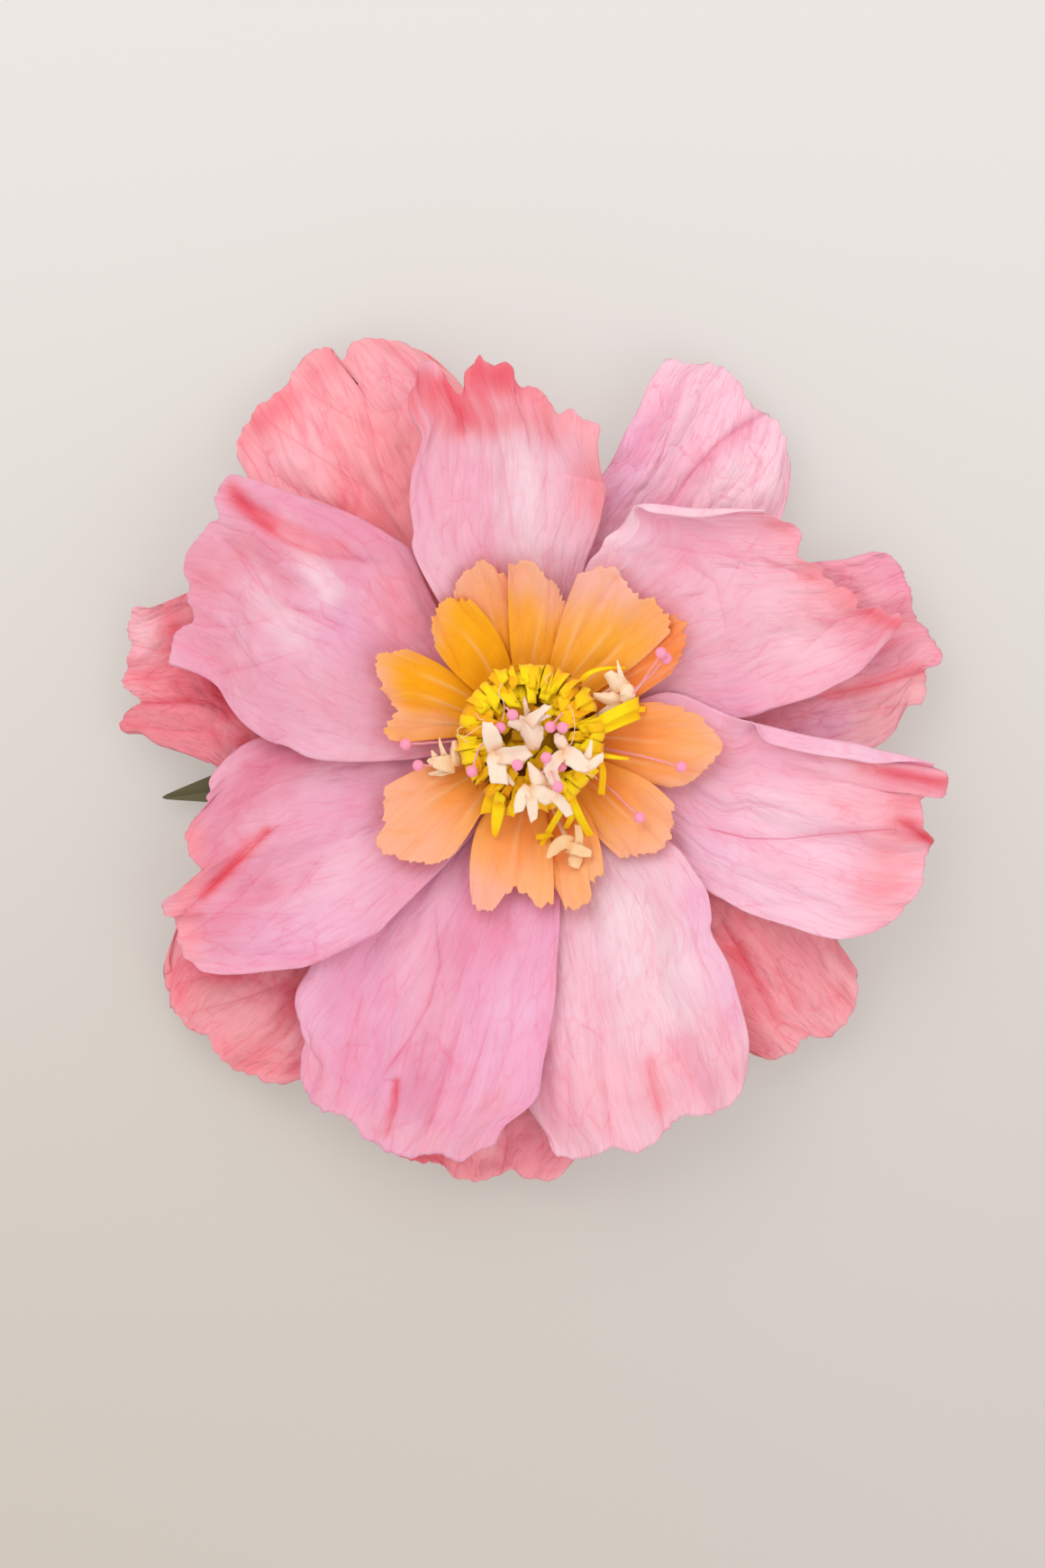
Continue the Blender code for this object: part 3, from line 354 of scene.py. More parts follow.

# Each front petal: its outline, its folds and its washes of colour.
# pleats are (share of width, depth, half width), washes are (colour, amount, width, line),
# creases are (depth, width, step, darkness, line): a groove, and a step from one side to the other, with the
# darkness painted as shade along the groove.
frontPetals = [
    {"axis": 97, "base": (248, 190, 208), "lift": 4.0, "pleats": [(0.5, 1.6, 0.07), (0.8, 1.0, 0.06)],
     "left": [(128, 12), (125.5, 30), (123, 53), (119.9, 59), (117.6, 65.5), (114.8, 71.4),
              (111.2, 77), (110.2, 79.6), (110.5, 83.6), (110.5, 87.4), (109.8, 90.4)],
     "tip": [(109.8, 90.4), (108.3, 92.4), (107.2, 96.6), (105.9, 98), (104.2, 96.4), (102.6, 89),
             (101.3, 88.2), (100.1, 93.3), (98.4, 95), (97.8, 96.3), (96.9, 94), (95.5, 93.4),
             (94.1, 93.8), (92.9, 92.6), (92.7, 90), (91.8, 87.6), (89.7, 87.8), (88.2, 86.2),
             (87.1, 84.5), (85.2, 81.3), (83, 82.8), (80.7, 80.5), (78.1, 79.8), (77.4, 78.6)],
     "right": [(67, 12), (69, 30), (72.3, 43.7), (72.2, 53.9), (72.7, 59.9), (73.5, 64.8),
               (75.7, 69.2), (77.2, 74.3), (77.4, 78.6)],
     "washes": [((238, 156, 186), 0.7, 7, [(121, 58), (116, 70), (112, 80)]),
                (whitish, 0.75, 8, [(93, 50), (92, 66), (95, 78)]),
                (rose, 0.5, 6, [(103, 50), (101, 68)]),
                (deepCoral, 0.9, 7, [(110, 88), (104, 88), (98, 90), (92, 88), (87, 84)]),
                ((243, 140, 152), 0.75, 5, [(104, 82), (97, 79), (91, 80), (85, 77)]),
                (coral, 0.85, 6, [(85, 82), (79, 78), (77, 70), (75, 62)]),
                (red, 0.8, 4.5, [(107.5, 92), (104, 86), (102, 82)]),
                (red, 0.75, 4.5, [(99, 93), (95, 91)])],
     "creases": [(0.8, 1.2, 0.5, 0.5, [(103, 96), (102, 88), (102.5, 78)]),
                 (0.5, 1.4, 0, 0.35, [(97, 84), (96, 70), (95, 50)]),
                 (0.6, 1.4, 0, 0.3, [(88, 86), (87, 74), (86, 52)]),
                 (0.5, 1.2, 0, 0.3, [(109, 88), (112, 74), (114, 60)]),
                 (0.35, 0.7, 0.2, 0.3, [(74, 66), (82, 66.5)])]},
    {"axis": 38, "base": (247, 184, 204), "lift": 1.0, "pleats": [(0.4, 1.4, 0.06), (0.7, 1.4, 0.06)],
     "roll": (0.58, 0.15, 4.2), "taper": 0.5, "under": (253, 208, 222),
     "left": [(68, 12), (70, 28), (72.2, 43.7), (69.9, 49.8), (69.6, 53), (67.1, 56.7),
              (66.3, 60.5), (64.8, 63.9), (54, 70.1), (44.1, 80.8)],
     "tip": [(44.1, 80.8), (41, 83.4), (38.7, 85.3), (37.4, 85.2), (36, 83.4), (34.4, 80.9),
             (32.3, 82.5), (30.3, 84.4), (28.6, 84.6), (26.7, 86.1), (25.4, 88.2), (23.5, 89.1),
             (21.9, 88.2), (21.1, 90.7), (20.6, 94.2), (19, 95.2), (18.7, 97.4), (17.6, 98),
             (16.6, 95.7), (16.8, 91.7)],
     "right": [(8, 12), (6.5, 30), (5, 52), (6.8, 61.2), (8.1, 70.4), (9.3, 75.2), (11.2, 83),
               (13.7, 87.5), (16.8, 91.7)],
     "washes": [((248, 194, 210), 0.7, 14, [(35, 55), (28, 66)]),
                ((248, 192, 210), 0.7, 7, [(9, 66), (12, 80)]),
                (rose, 0.45, 7, [(62, 60), (52, 68), (44, 76)]),
                ((244, 168, 182), 0.5, 6, [(44, 74), (36, 77), (29, 78)]),
                ((253, 208, 222), 0.8, 5, [(18, 77), (21, 72)]),
                (coral, 0.75, 4, [(42, 82), (36, 82), (30, 82), (24, 86)]),
                (deepCoral, 0.76, 4.5, [(22, 87), (19, 92), (17.0, 97)]),
                (red, 0.45, 1.8, [(21, 89), (18.6, 93), (16.6, 97)]),
                (coral, 0.4, 7, [(24, 76), (20, 84)]),
                (pale, 0.7, 6, [(66, 44), (62, 54)]),
                (lavender, 0.5, 6, [(7, 54), (12, 50)])],
     "creases": [(0.6, 1.2, 0.3, 0.35, [(60, 56), (48, 62), (38, 72), (30, 80)]),
                 (0.5, 1.2, 0.2, 0.35, [(52, 58), (40, 60), (30, 56)]),
                 (0.5, 1.0, 0.3, 0.4, [(20, 92), (21, 82), (18, 72)]),
                 (0.4, 1.0, 0, 0.3, [(16, 92), (14, 80), (12, 66)]),
                 (0.4, 1.0, 0, 0.3, [(42, 78), (40, 68), (36, 58)])]},
    {"axis": -12, "base": (251, 194, 213), "lift": 0.0, "pleats": [(0.5, 1.2, 0.06)],
     "roll": (0.47, 0.15, 6.2), "taper": 0.65, "under": (250, 192, 216),
     "left": [(18, 12), (19, 25), (18.4, 35.6), (9.4, 45.6), (5, 52), (2.1, 60.8), (0.4, 68),
              (-0.5, 74.3), (-1.1, 80.6), (-2.1, 86), (-2.8, 92.4), (-3.8, 100.6)],
     "tip": [(-3.8, 100.6), (-4.7, 104.6), (-6.9, 105.2), (-8.1, 104), (-7.9, 100.8), (-9, 98.8),
             (-10.9, 100), (-12.5, 100.6), (-14, 104.2), (-15.2, 104.6), (-16.7, 103.7),
             (-18.7, 103.7), (-20.2, 104.6), (-22, 104.1), (-25.1, 102.7), (-28.4, 99.9),
             (-31.1, 95.9)],
     "right": [(-42, 12), (-42, 28), (-41.5, 45), (-41.1, 58.4), (-40.3, 62.5), (-39.2, 69),
               (-36.4, 79.2), (-34.9, 86.2), (-33.4, 91.5), (-31.1, 95.9)],
     "washes": [((246, 190, 220), 0.7, 12, [(-30, 50), (-31, 66)]),
                ((250, 206, 224), 0.8, 10, [(-32, 68), (-28, 84)]),
                (rose, 0.5, 8, [(8, 44), (0, 54), (-4, 66)]),
                (coral, 0.7, 9, [(-12, 92), (-18, 96), (-24, 96)]),
                (red, 0.85, 3.4, [(-5.0, 83), (-5.8, 93), (-6.4, 104)]),
                ((226, 62, 84), 0.6, 1.6, [(-5.2, 84), (-6.0, 93), (-6.6, 103)]),
                ((252, 210, 226), 0.75, 8, [(-18, 62), (-20, 80)]),
                (coral, 0.7, 3.0, [(1, 62), (-2, 74), (-4, 86)]),
                (red, 0.75, 2.6, [(-12.8, 94), (-14.2, 100), (-15.2, 105)]),
                ((224, 56, 78), 0.8, 1.1, [(-13.2, 96), (-14.8, 104)]),
                (blush, 0.7, 6, [(-10, 74), (-12, 84)])],
     "creases": [(0.3, 0.7, 0.6, 1.0, [(-30, 42), (-25, 60), (-22, 68), (-18, 78), (-14.5, 92)]),
                 (0.9, 1.4, 0.5, 0.5, [(-12.4, 92), (-13.6, 98), (-15, 104)]),
                 (0.4, 1.0, 0, 0.3, [(-8, 60), (-8, 76), (-9, 92)]),
                 (0.35, 1.0, 0, 0.25, [(-26, 66), (-25, 82), (-24, 98)]),
                 (0.35, 0.8, 0, 0.25, [(-14, 50), (-18, 56), (-16, 64)])]},
    {"axis": -67, "base": (248, 194, 212), "lift": 0.0, "pleats": [(0.3, 1.3, 0.06), (0.6, 1.6, 0.06)],
     "left": [(-37, 12), (-36, 30), (-37.1, 44.7), (-39.6, 53), (-41.3, 58.2), (-44.9, 63.3),
              (-47.4, 66.2), (-49, 74.4), (-51.2, 81.7), (-53.3, 89.4), (-54.6, 93.5), (-57.1, 99)],
     "tip": [(-57.1, 99), (-59.3, 102.7), (-62.5, 104.7), (-65.6, 104.6), (-68.1, 102),
             (-71.4, 104.7), (-74.4, 107.2), (-76.3, 107.1), (-79.5, 104.7), (-81.2, 106.2),
             (-84.3, 106.1), (-86.5, 105.1), (-87.3, 102.2)],
     "right": [(-97, 12), (-97, 30), (-95, 60), (-92.5, 85), (-90.3, 92.9), (-87.9, 98.7),
               (-87.3, 102.2)],
     "washes": [(whitish, 0.85, 12, [(-61, 50), (-63, 66), (-66, 78)]),
                ((246, 186, 202), 0.5, 7, [(-76, 60), (-76, 82)]),
                ((247, 178, 190), 0.7, 9, [(-58, 98), (-67, 96), (-77, 97), (-85, 96)]),
                ((250, 188, 200), 0.7, 6, [(-56, 86), (-66, 88), (-76, 88), (-84, 86)]),
                (deepCoral, 0.5, 1.8, [(-70, 86), (-71, 98)]),
                (rose, 0.45, 3, [(-64, 84), (-63, 98)]),
                (lavender, 0.5, 5, [(-44, 58), (-50, 74), (-54, 86)]),
                (rose, 0.5, 4, [(-88, 60), (-88, 80), (-86, 96)])],
     "creases": [(0.6, 1.2, 0.2, 0.4, [(-70.5, 84), (-71, 94), (-71.5, 104)]),
                 (0.6, 1.4, 0, 0.3, [(-66, 80), (-65, 92), (-64, 104)]),
                 (0.5, 1.2, 0, 0.3, [(-77, 74), (-78, 90), (-79, 104)]),
                 (0.4, 1.0, 0, 0.25, [(-60, 70), (-59, 86), (-59, 100)]),
                 (0.4, 1.0, 0, 0.25, [(-83, 70), (-84, 90), (-85, 104)]),
                 (0.5, 1.0, 0, 0.3, [(-50, 60), (-54, 76), (-57, 92)])]},
    {"axis": 251, "base": (240, 168, 200), "lift": -1.0,
     "pleats": [(0.6, 2.0, 0.06), (0.3, 1.5, 0.06), (0.8, 1.0, 0.05)],
     "left": [(281, 12), (281.5, 28), (280.2, 39.6), (276.7, 55.4), (275.1, 65.6), (272.2, 80.3),
              (271.2, 88.3), (269.4, 92.3), (266, 97.1), (264.9, 101.9)],
     "tip": [(264.9, 101.9), (262.8, 104.3), (260.5, 107.7), (259, 107.7), (257.6, 106.5),
             (255.9, 108.2), (254, 109.8), (252.4, 109.8), (250.2, 109.8), (247.8, 109),
             (245, 106.9), (242.4, 106.4), (240.6, 107.5), (238, 106.1), (235.7, 102.7),
             (233.7, 96.7)],
     "right": [(221, 12), (221, 35), (222, 60), (225, 76), (226.2, 80.2), (227.1, 85.9), (229, 89.6),
               (232.2, 90.7), (233.7, 96.7)],
     "washes": [(rose, 0.6, 8, [(262, 50), (252, 54), (244, 60)]),
                ((246, 186, 216), 0.8, 9, [(268, 70), (266, 84), (262, 92)]),
                ((238, 160, 190), 0.4, 9, [(240, 70), (240, 84)]),
                ((232, 144, 174), 0.75, 4.5, [(251, 54), (250, 70), (251, 88), (253, 96)]),
                ((242, 168, 184), 0.6, 4, [(264, 92), (260, 96)]),
                (rose, 0.75, 2.0, [(254, 72), (255, 86), (256, 100)]),
                (rose, 0.75, 1.8, [(260, 84), (258, 96), (257, 106)]),
                (red, 0.75, 0.9, [(248.6, 92), (249.5, 98), (250, 105)]),
                ((244, 174, 188), 0.6, 4, [(263, 102), (256, 105), (248, 105), (240, 103), (235, 96)]),
                (rose, 0.6, 2.4, [(238, 84), (241, 94), (243, 103)])],
     "creases": [(0.5, 1.1, 1.3, 0.55, [(238, 46), (244, 54), (248, 61), (249, 71), (248, 81),
                                       (246.5, 91)]),
                 (0.6, 0.8, 0.4, 0.6, [(246, 93), (248.6, 92), (250, 98), (250, 106)]),
                 (0.8, 1.5, 0.5, 0.4, [(257, 66), (256, 80), (255.5, 94), (255, 108)]),
                 (0.7, 1.3, 0.4, 0.35, [(262, 70), (260, 86), (258.5, 100)]),
                 (0.6, 1.3, 0.2, 0.35, [(236, 74), (239, 88), (242, 104)]),
                 (0.5, 1.2, 0, 0.3, [(268, 58), (266, 76), (263, 94)])]},
    {"axis": 210, "base": (240, 170, 194), "lift": 0.0, "pleats": [(0.6, 2.0, 0.06), (0.3, 1.0, 0.06)],
     "left": [(241, 12), (240, 25), (237.2, 34), (235.7, 40), (234.1, 46.5), (232.6, 55.3),
              (231.7, 62.4), (229.7, 67.6), (227.5, 74.1), (225.4, 80.3), (223.8, 83.3),
              (221.8, 87.3), (219.5, 92.7), (217.7, 96.7), (215.6, 100.4)],
     "tip": [(215.6, 100.4), (213.5, 102.4), (211.2, 102.8), (209.8, 102.6), (209.2, 101.5),
             (207.2, 100.3), (205.8, 102.2), (204.1, 101.3), (203.6, 97.3), (202.9, 93.4),
             (202.1, 89.8), (201.3, 89.6), (198.5, 90.7), (195.3, 89.8), (193.3, 86.5),
             (190.8, 83), (187.4, 81.2), (185.8, 78.8)],
     "right": [(180, 12), (178, 30), (177, 50), (178.5, 62), (181.5, 72), (185.8, 78.8)],
     "washes": [((228, 138, 162), 0.85, 9, [(186, 62), (193, 74), (198, 84)]),
                ((224, 126, 154), 0.6, 5, [(182, 58), (186, 70)]),
                ((238, 176, 204), 0.6, 11, [(222, 46), (219, 62), (218, 78)]),
                ((232, 146, 172), 0.6, 6, [(217, 94), (212, 94)]),
                ((230, 142, 166), 0.7, 4, [(211, 76), (210.5, 90)]),
                ((240, 176, 208), 0.6, 8, [(204, 46), (200, 54)]),
                (lavender, 0.5, 8, [(226, 66), (220, 86)]),
                (red, 0.9, 1.3, [(199.6, 70), (202, 77), (204, 84), (205.8, 91)]),
                (deepCoral, 0.2, 2.6, [(201, 76), (205, 88), (206, 98)]),
                (coral, 0.8, 3.6, [(213, 101), (206, 98), (203, 93), (196, 88)]),
                (darkRed, 0.5, 1.2, [(207.2, 99.5), (208.4, 94)]),
                (rose, 0.5, 4, [(228, 72), (222, 88), (217, 98)])],
     "creases": [(0.7, 0.8, 2.2, 0.8, [(198.6, 64), (200, 70), (202.4, 77), (204.4, 85), (206.5, 95)]),
                 (0.6, 1.2, 0.3, 0.45, [(205, 70), (209, 84), (210, 98)]),
                 (0.4, 1.0, 0.2, 0.3, [(208, 56), (213, 70), (216, 86)]),
                 (0.4, 1.0, 0, 0.25, [(222, 56), (221, 72), (219, 90)]),
                 (0.4, 1.0, 0.2, 0.3, [(188, 50), (190, 64), (194, 80)])]},
    {"axis": 159, "base": (237, 168, 192), "lift": 1.5, "pleats": [(0.8, 1.8, 0.06), (0.4, 1.2, 0.06)],
     "left": [(191, 12), (191, 25), (189, 38.7), (186, 53.8), (182.3, 60.8), (180.9, 65.5),
              (177.5, 71.5), (174.2, 75.6), (171, 79.1), (169.4, 84.1), (168.7, 92.1)],
     "tip": [(168.7, 92.1), (164.5, 93), (161.7, 90.4), (159.6, 90.3), (158.4, 92.4), (156.1, 94.3),
             (154.4, 97.1), (152.2, 97.8), (149.3, 97.3), (147.4, 97.2), (145.6, 95.9),
             (144.6, 95.8), (143.3, 99), (141.1, 100), (139.3, 100), (138.9, 98.6), (139.7, 95.2)],
     "right": [(129, 12), (128, 28), (125, 45), (123.1, 53), (123.1, 57), (124.6, 60.3),
               (126.3, 65), (128.8, 71.2), (132, 78.8), (135.4, 86.9), (138.7, 93.8),
               (139.7, 95.2)],
     "washes": [((240, 174, 206), 0.8, 10, [(144, 46), (150, 56)]),
                ((246, 210, 220), 0.65, 6, [(152, 78), (156, 66)]),
                ((250, 222, 232), 0.75, 3.0, [(138, 82), (141, 72), (144, 62)]),
                ((228, 140, 160), 0.6, 3.0, [(145, 88), (146, 80), (148, 72)]),
                ((232, 166, 186), 0.6, 8, [(171, 76), (171, 62)]),
                ((240, 186, 204), 0.6, 8, [(176, 46), (165, 54)]),
                (rose, 0.7, 7, [(127, 66), (132, 74), (137, 84)]),
                ((236, 150, 168), 0.55, 5, [(166, 76), (165, 86)]),
                ((240, 140, 156), 0.5, 3.5, [(139, 74), (140, 84)]),
                (red, 0.8, 2.2, [(140.2, 97), (141.2, 90), (141.6, 84)]),
                (deepCoral, 0.5, 2.6, [(141.4, 82), (139.6, 73), (135, 67)]),
                (coral, 0.5, 6, [(134, 50), (137, 44)]),
                ((234, 148, 164), 0.7, 6, [(150, 92), (156, 90), (147, 86)]),
                (rose, 0.5, 4, [(166, 88), (170, 84)]),
                ((226, 150, 176), 0.55, 5, [(181, 64), (184, 56)])],
     "creases": [(0.9, 2.2, 1.2, 0.5, [(140, 99), (141.5, 88), (141.5, 78), (139, 69), (134, 62)]),
                 (-1.5, 3.4, 0, 0.0, [(138, 86), (141, 74), (145, 62)]),
                 (-1.2, 3.0, 0, 0.0, [(155, 92), (153, 80), (150, 68)]),
                 (1.0, 2.6, 0, 0.1, [(147, 92), (147.5, 80), (148, 68)]),
                 (-1.0, 2.8, 0, 0.0, [(164, 88), (160, 76), (155, 66)]),
                 (0.6, 1.0, 0.4, 0.4, [(147, 94), (148, 84), (151, 76)]),
                 (0.5, 1.0, 0.3, 0.35, [(162, 90), (160, 80), (156, 72)]),
                 (0.4, 0.9, 0.2, 0.3, [(136, 84), (133, 74), (131, 64), (133, 54)]),
                 (0.5, 1.0, 0, 0.3, [(170, 84), (166, 72), (160, 62)]),
                 (0.35, 0.9, 0, 0.25, [(152, 70), (150, 58), (148, 48)])]},
]

backPetals = [
    {"axis": 121, "base": (253, 172, 178), "lift": 0.0, "pleats": [(0.4, 1.2, 0.06)],
     "left": [(150, 12), (148, 30), (146, 55), (143, 75), (138.2, 93.4), (136.4, 101.9)],
     "tip": [(136.4, 101.9), (134, 106.3), (131.2, 107.3), (130.2, 108.6), (127.3, 108.1),
             (123.9, 109.1), (123.1, 110.7), (120.8, 111.6), (119.1, 111.8), (117.3, 110.4),
             (117.2, 107.6), (116.1, 107), (114.9, 109), (113.4, 109.3), (111.5, 108.2),
             (109.2, 105.8), (107.2, 103.2), (104.9, 99.4)],
     "right": [(92, 12), (93, 30), (94, 55), (97, 75), (101.4, 90.5), (104.9, 99.4)],
     "washes": [(blush, 0.6, 8, [(134, 98), (129, 90)]),
                (deepCoral, 0.75, 5, [(131, 104), (124, 104), (119, 107)]),
                (coral, 0.4, 9, [(120, 72), (116, 88)]),
                (blush, 0.7, 7, [(112, 98), (109, 92)]),
                (deepCoral, 0.5, 5, [(124, 62), (128, 74)])],
     "creases": [(-1.2, 3.0, 0, 0.0, [(126, 104), (124, 92), (122, 80)]),
                 (-1.0, 2.6, 0, 0.0, [(113, 104), (114, 92), (115, 82)]),
                 (0.5, 1.0, 0.3, 0.45, [(130, 104), (128, 92), (124, 76)]),
                 (0.5, 0.9, 0.3, 0.45, [(117, 108), (116, 96), (119, 80), (121, 66)]),
                 (0.5, 1.0, 0.2, 0.4, [(134, 100), (134, 88), (130, 74)]),
                 (0.4, 0.9, 0.2, 0.4, [(124, 108), (121, 96), (116, 84), (117, 72)]),
                 (0.4, 0.9, 0.2, 0.35, [(111, 104), (112, 92), (111, 82)])]},
    {"axis": 58, "base": (252, 202, 219), "lift": 0.0, "pleats": [(0.5, 1.4, 0.06)],
     "left": [(88, 12), (86, 30), (81, 50), (74.4, 69.6), (73, 79.1), (72, 86.1), (71.7, 92.4),
              (71.1, 97), (70.4, 100.6)],
     "tip": [(70.4, 100.6), (68.7, 101.7), (67.8, 101.4), (66, 102.7), (64.6, 104.5), (63, 105.1),
             (61.5, 104.7), (59.4, 103.3), (56.7, 100.7), (55, 101.1), (52.8, 101.2),
             (51.1, 100.3), (49, 98.3), (46.8, 95)],
     "right": [(28, 12), (30, 30), (33, 50), (37, 70), (41.4, 83.7), (44.4, 90.8), (46.8, 95)],
     "washes": [(lavender, 0.8, 8, [(72, 66), (70, 80)]),
                (rose, 0.7, 4.0, [(58, 68), (57.5, 82), (55, 94)]),
                (pale, 0.8, 6, [(64, 84), (62, 98)]),
                ((253, 216, 228), 0.8, 8, [(52, 76), (49, 90)]),
                (rose, 0.5, 3, [(70, 76), (68, 92)])],
     "creases": [(0.9, 1.2, 1.6, 0.55, [(59.5, 62), (59, 76), (57.5, 88), (54.5, 100)]),
                 (0.6, 1.2, 0.4, 0.4, [(67, 102), (66, 88), (65, 74)]),
                 (0.4, 1.0, 0.2, 0.3, [(52, 98), (51, 84), (52, 72)]),
                 (0.4, 0.9, 0, 0.3, [(62, 98), (61, 84)])]},
    {"axis": 14, "base": (246, 166, 184), "lift": 1.0, "pleats": [(0.5, 1.6, 0.06)],
     "left": [(44, 12), (43, 30), (40, 50), (36, 70), (30.2, 88), (29.2, 92.8), (28.5, 97.3)],
     "tip": [(28.5, 97.3), (27.1, 100.9), (25.3, 102.5), (23.2, 102.7), (21.4, 102.4), (18.4, 101),
             (16.6, 102.4), (15.1, 103.9), (12.8, 105), (10.4, 104.8), (9.8, 100.4), (8.5, 100.6),
             (6.9, 100.4), (4.7, 98)],
     "right": [(-16, 12), (-14, 30), (-10, 50), (-6, 70), (-2, 85.1), (0.6, 90.5), (2.5, 92.3),
               (4.7, 94.6), (4.7, 98)],
     "washes": [(rose, 0.7, 5, [(26, 96), (22, 100)]),
                (lavender, 0.6, 5, [(14, 80), (13, 86)]),
                ((238, 160, 172), 0.6, 7, [(22, 90), (17, 100)]),
                ((244, 176, 190), 0.6, 3, [(12, 92), (12, 100)]),
                (red, 1.0, 2.6, [(8.4, 76), (8.8, 86), (9.8, 98)]),
                (blush, 0.6, 4, [(14, 98), (12, 102)]),
                ((250, 190, 194), 0.85, 7, [(4, 90), (-1, 84), (6, 96)]),
                (lavender, 0.6, 5, [(3, 76), (-1, 70)])],
     "creases": [(0.6, 1.0, 1.2, 0.7, [(8.2, 74), (8.6, 86), (9.6, 100)]),
                 (0.5, 1.0, 0.4, 0.4, [(18, 80), (20, 92), (20, 102)]),
                 (0.5, 1.0, 0.2, 0.35, [(24, 86), (24, 94), (24, 102)]),
                 (0.4, 0.9, 0.3, 0.35, [(4, 70), (4.5, 84), (5, 96)]),
                 (0.4, 0.9, 0.2, 0.3, [(14, 84), (15, 94), (15, 103)])]},
    {"axis": -44, "base": (250, 166, 174), "lift": 0.0, "pleats": [(0.5, 1.4, 0.06)],
     "left": [(-14, 12), (-16, 30), (-20, 50), (-26, 72), (-33.4, 91.6), (-34.4, 95.4),
              (-35.6, 100.4)],
     "tip": [(-35.6, 100.4), (-37.8, 103.8), (-41.5, 107.1), (-44.5, 107), (-45.9, 105.4),
             (-46.9, 103.3), (-48.1, 102.4), (-50.2, 103.1), (-52.5, 101.9), (-53.9, 100.3),
             (-54.8, 97.6)],
     "right": [(-74, 12), (-72, 30), (-69, 50), (-64, 72), (-58, 88), (-54.8, 97.6)],
     "washes": [((255, 140, 150), 0.9, 6, [(-40, 58), (-43, 66), (-46, 74)]),
                ((238, 118, 132), 0.6, 3.4, [(-48, 78), (-52, 90), (-54, 96)]),
                (red, 0.5, 1.2, [(-46, 74), (-47, 84), (-49, 94)]),
                ((230, 128, 140), 0.6, 6, [(-36, 86), (-35, 94)]),
                ((242, 160, 168), 0.7, 8, [(-41, 90), (-44, 98)])],
     "creases": [(0.6, 0.9, 0.4, 0.5, [(-43, 62), (-46, 76), (-49, 92)]),
                 (0.5, 0.9, 0.2, 0.4, [(-40, 64), (-42, 80), (-46, 96)]),
                 (0.4, 0.9, 0.3, 0.35, [(-38, 76), (-39, 90), (-40, 104)]),
                 (0.4, 0.9, 0.2, 0.35, [(-50, 84), (-50, 94), (-50, 102)])]},
    {"axis": 265, "base": (254, 168, 178), "lift": 0.0, "pleats": [(0.5, 1.2, 0.06)],
     "left": [(295, 12), (294, 30), (292, 55), (288, 80), (281, 98), (275.6, 106.6)],
     "tip": [(275.6, 106.6), (274.6, 108.7), (273.3, 111.3), (270.3, 111.4), (268.6, 110.5),
             (267.6, 109.2), (265.3, 111.1), (263.3, 112.4), (260.9, 113.3), (259.4, 111.7),
             (257.7, 110.3), (256.2, 110.6), (252.5, 110.4)],
     "right": [(235, 12), (236, 30), (238, 55), (241, 80), (246, 102), (252.5, 110.4)],
     "washes": [(red, 0.7, 3.4, [(257.5, 108), (254, 110)]),
                (coral, 0.5, 4, [(262, 110), (270, 109)]),
                ((226, 120, 142), 0.6, 6, [(268, 100), (272, 104)])],
     "creases": [(0.6, 1.0, 0.4, 0.5, [(260, 94), (260.5, 104), (260, 112)]),
                 (0.5, 1.0, 0.2, 0.4, [(266, 94), (266.5, 104), (266, 111)])]},
    {"axis": 223, "base": (250, 168, 176), "lift": 0.0, "pleats": [(0.5, 1.2, 0.06)],
     "left": [(253, 12), (252, 30), (250, 55), (246, 78), (240, 95), (235.9, 103.4), (234.8, 106.4)],
     "tip": [(234.8, 106.4), (233.3, 109), (229.9, 111.1), (227.6, 112.5), (224.6, 112.1),
             (222.8, 111.2), (219.8, 113.4), (216.7, 113.4), (215.3, 111.9), (213.3, 111),
             (212.9, 107.7)],
     "right": [(193, 12), (194, 30), (196, 55), (199, 75), (204, 92), (210.4, 105), (212.9, 107.7)],
     "washes": [((228, 76, 100), 0.95, 6.5, [(232, 86), (225, 90), (219, 94), (214, 101)]),
                ((238, 160, 166), 0.8, 7, [(223, 100), (220, 108)]),
                ((224, 94, 114), 0.8, 2.6, [(233, 90), (234, 102)]),
                (coral, 0.7, 5, [(230, 104), (226, 110)]),
                (deepCoral, 0.6, 3.5, [(214, 108), (216, 111)])],
     "creases": [(0.5, 0.8, 0.3, 0.5, [(226, 84), (222, 98), (219, 110)]),
                 (0.5, 0.9, 0.2, 0.45, [(228, 86), (227, 98), (226, 110)]),
                 (0.5, 0.9, 0.5, 0.5, [(232, 88), (233, 98), (232, 108)]),
                 (0.4, 0.8, 0.2, 0.4, [(222, 86), (217, 98), (215, 108)]),
                 (0.4, 0.8, 0.2, 0.4, [(230, 84), (230.5, 98), (229, 110)])]},
    {"axis": 171, "base": (243, 142, 154), "lift": 0.5, "pleats": [(0.5, 1.6, 0.06)],
     "left": [(201, 12), (200, 30), (198, 50), (194, 65), (185.5, 78.9), (184.5, 81.4),
              (183.3, 85), (182.1, 89.4), (181.1, 93.8), (179.6, 97.2), (179.5, 101)],
     "tip": [(179.5, 101), (178.8, 103.9), (177.4, 103.1), (176.4, 101.9), (175, 99.4),
             (173.8, 100.9), (173, 103.2), (171.4, 104.5), (170.2, 104), (168.8, 104.2),
             (166.8, 103.3), (166.1, 104.4), (164.4, 105.6), (162.9, 105.6), (161.7, 104.8),
             (161.5, 102.1)],
     "right": [(141, 12), (142, 30), (144, 55), (149, 78), (155, 90), (160.5, 98), (161.5, 102.1)],
     "washes": [((226, 76, 98), 0.85, 5.5, [(170, 84), (176, 76), (182, 70)]),
                (red, 0.7, 2.8, [(162, 95), (166, 91)]),
                ((228, 134, 142), 0.7, 4.5, [(178, 92), (177, 102)]),
                ((250, 188, 198), 0.85, 5, [(163, 103), (167, 100)]),
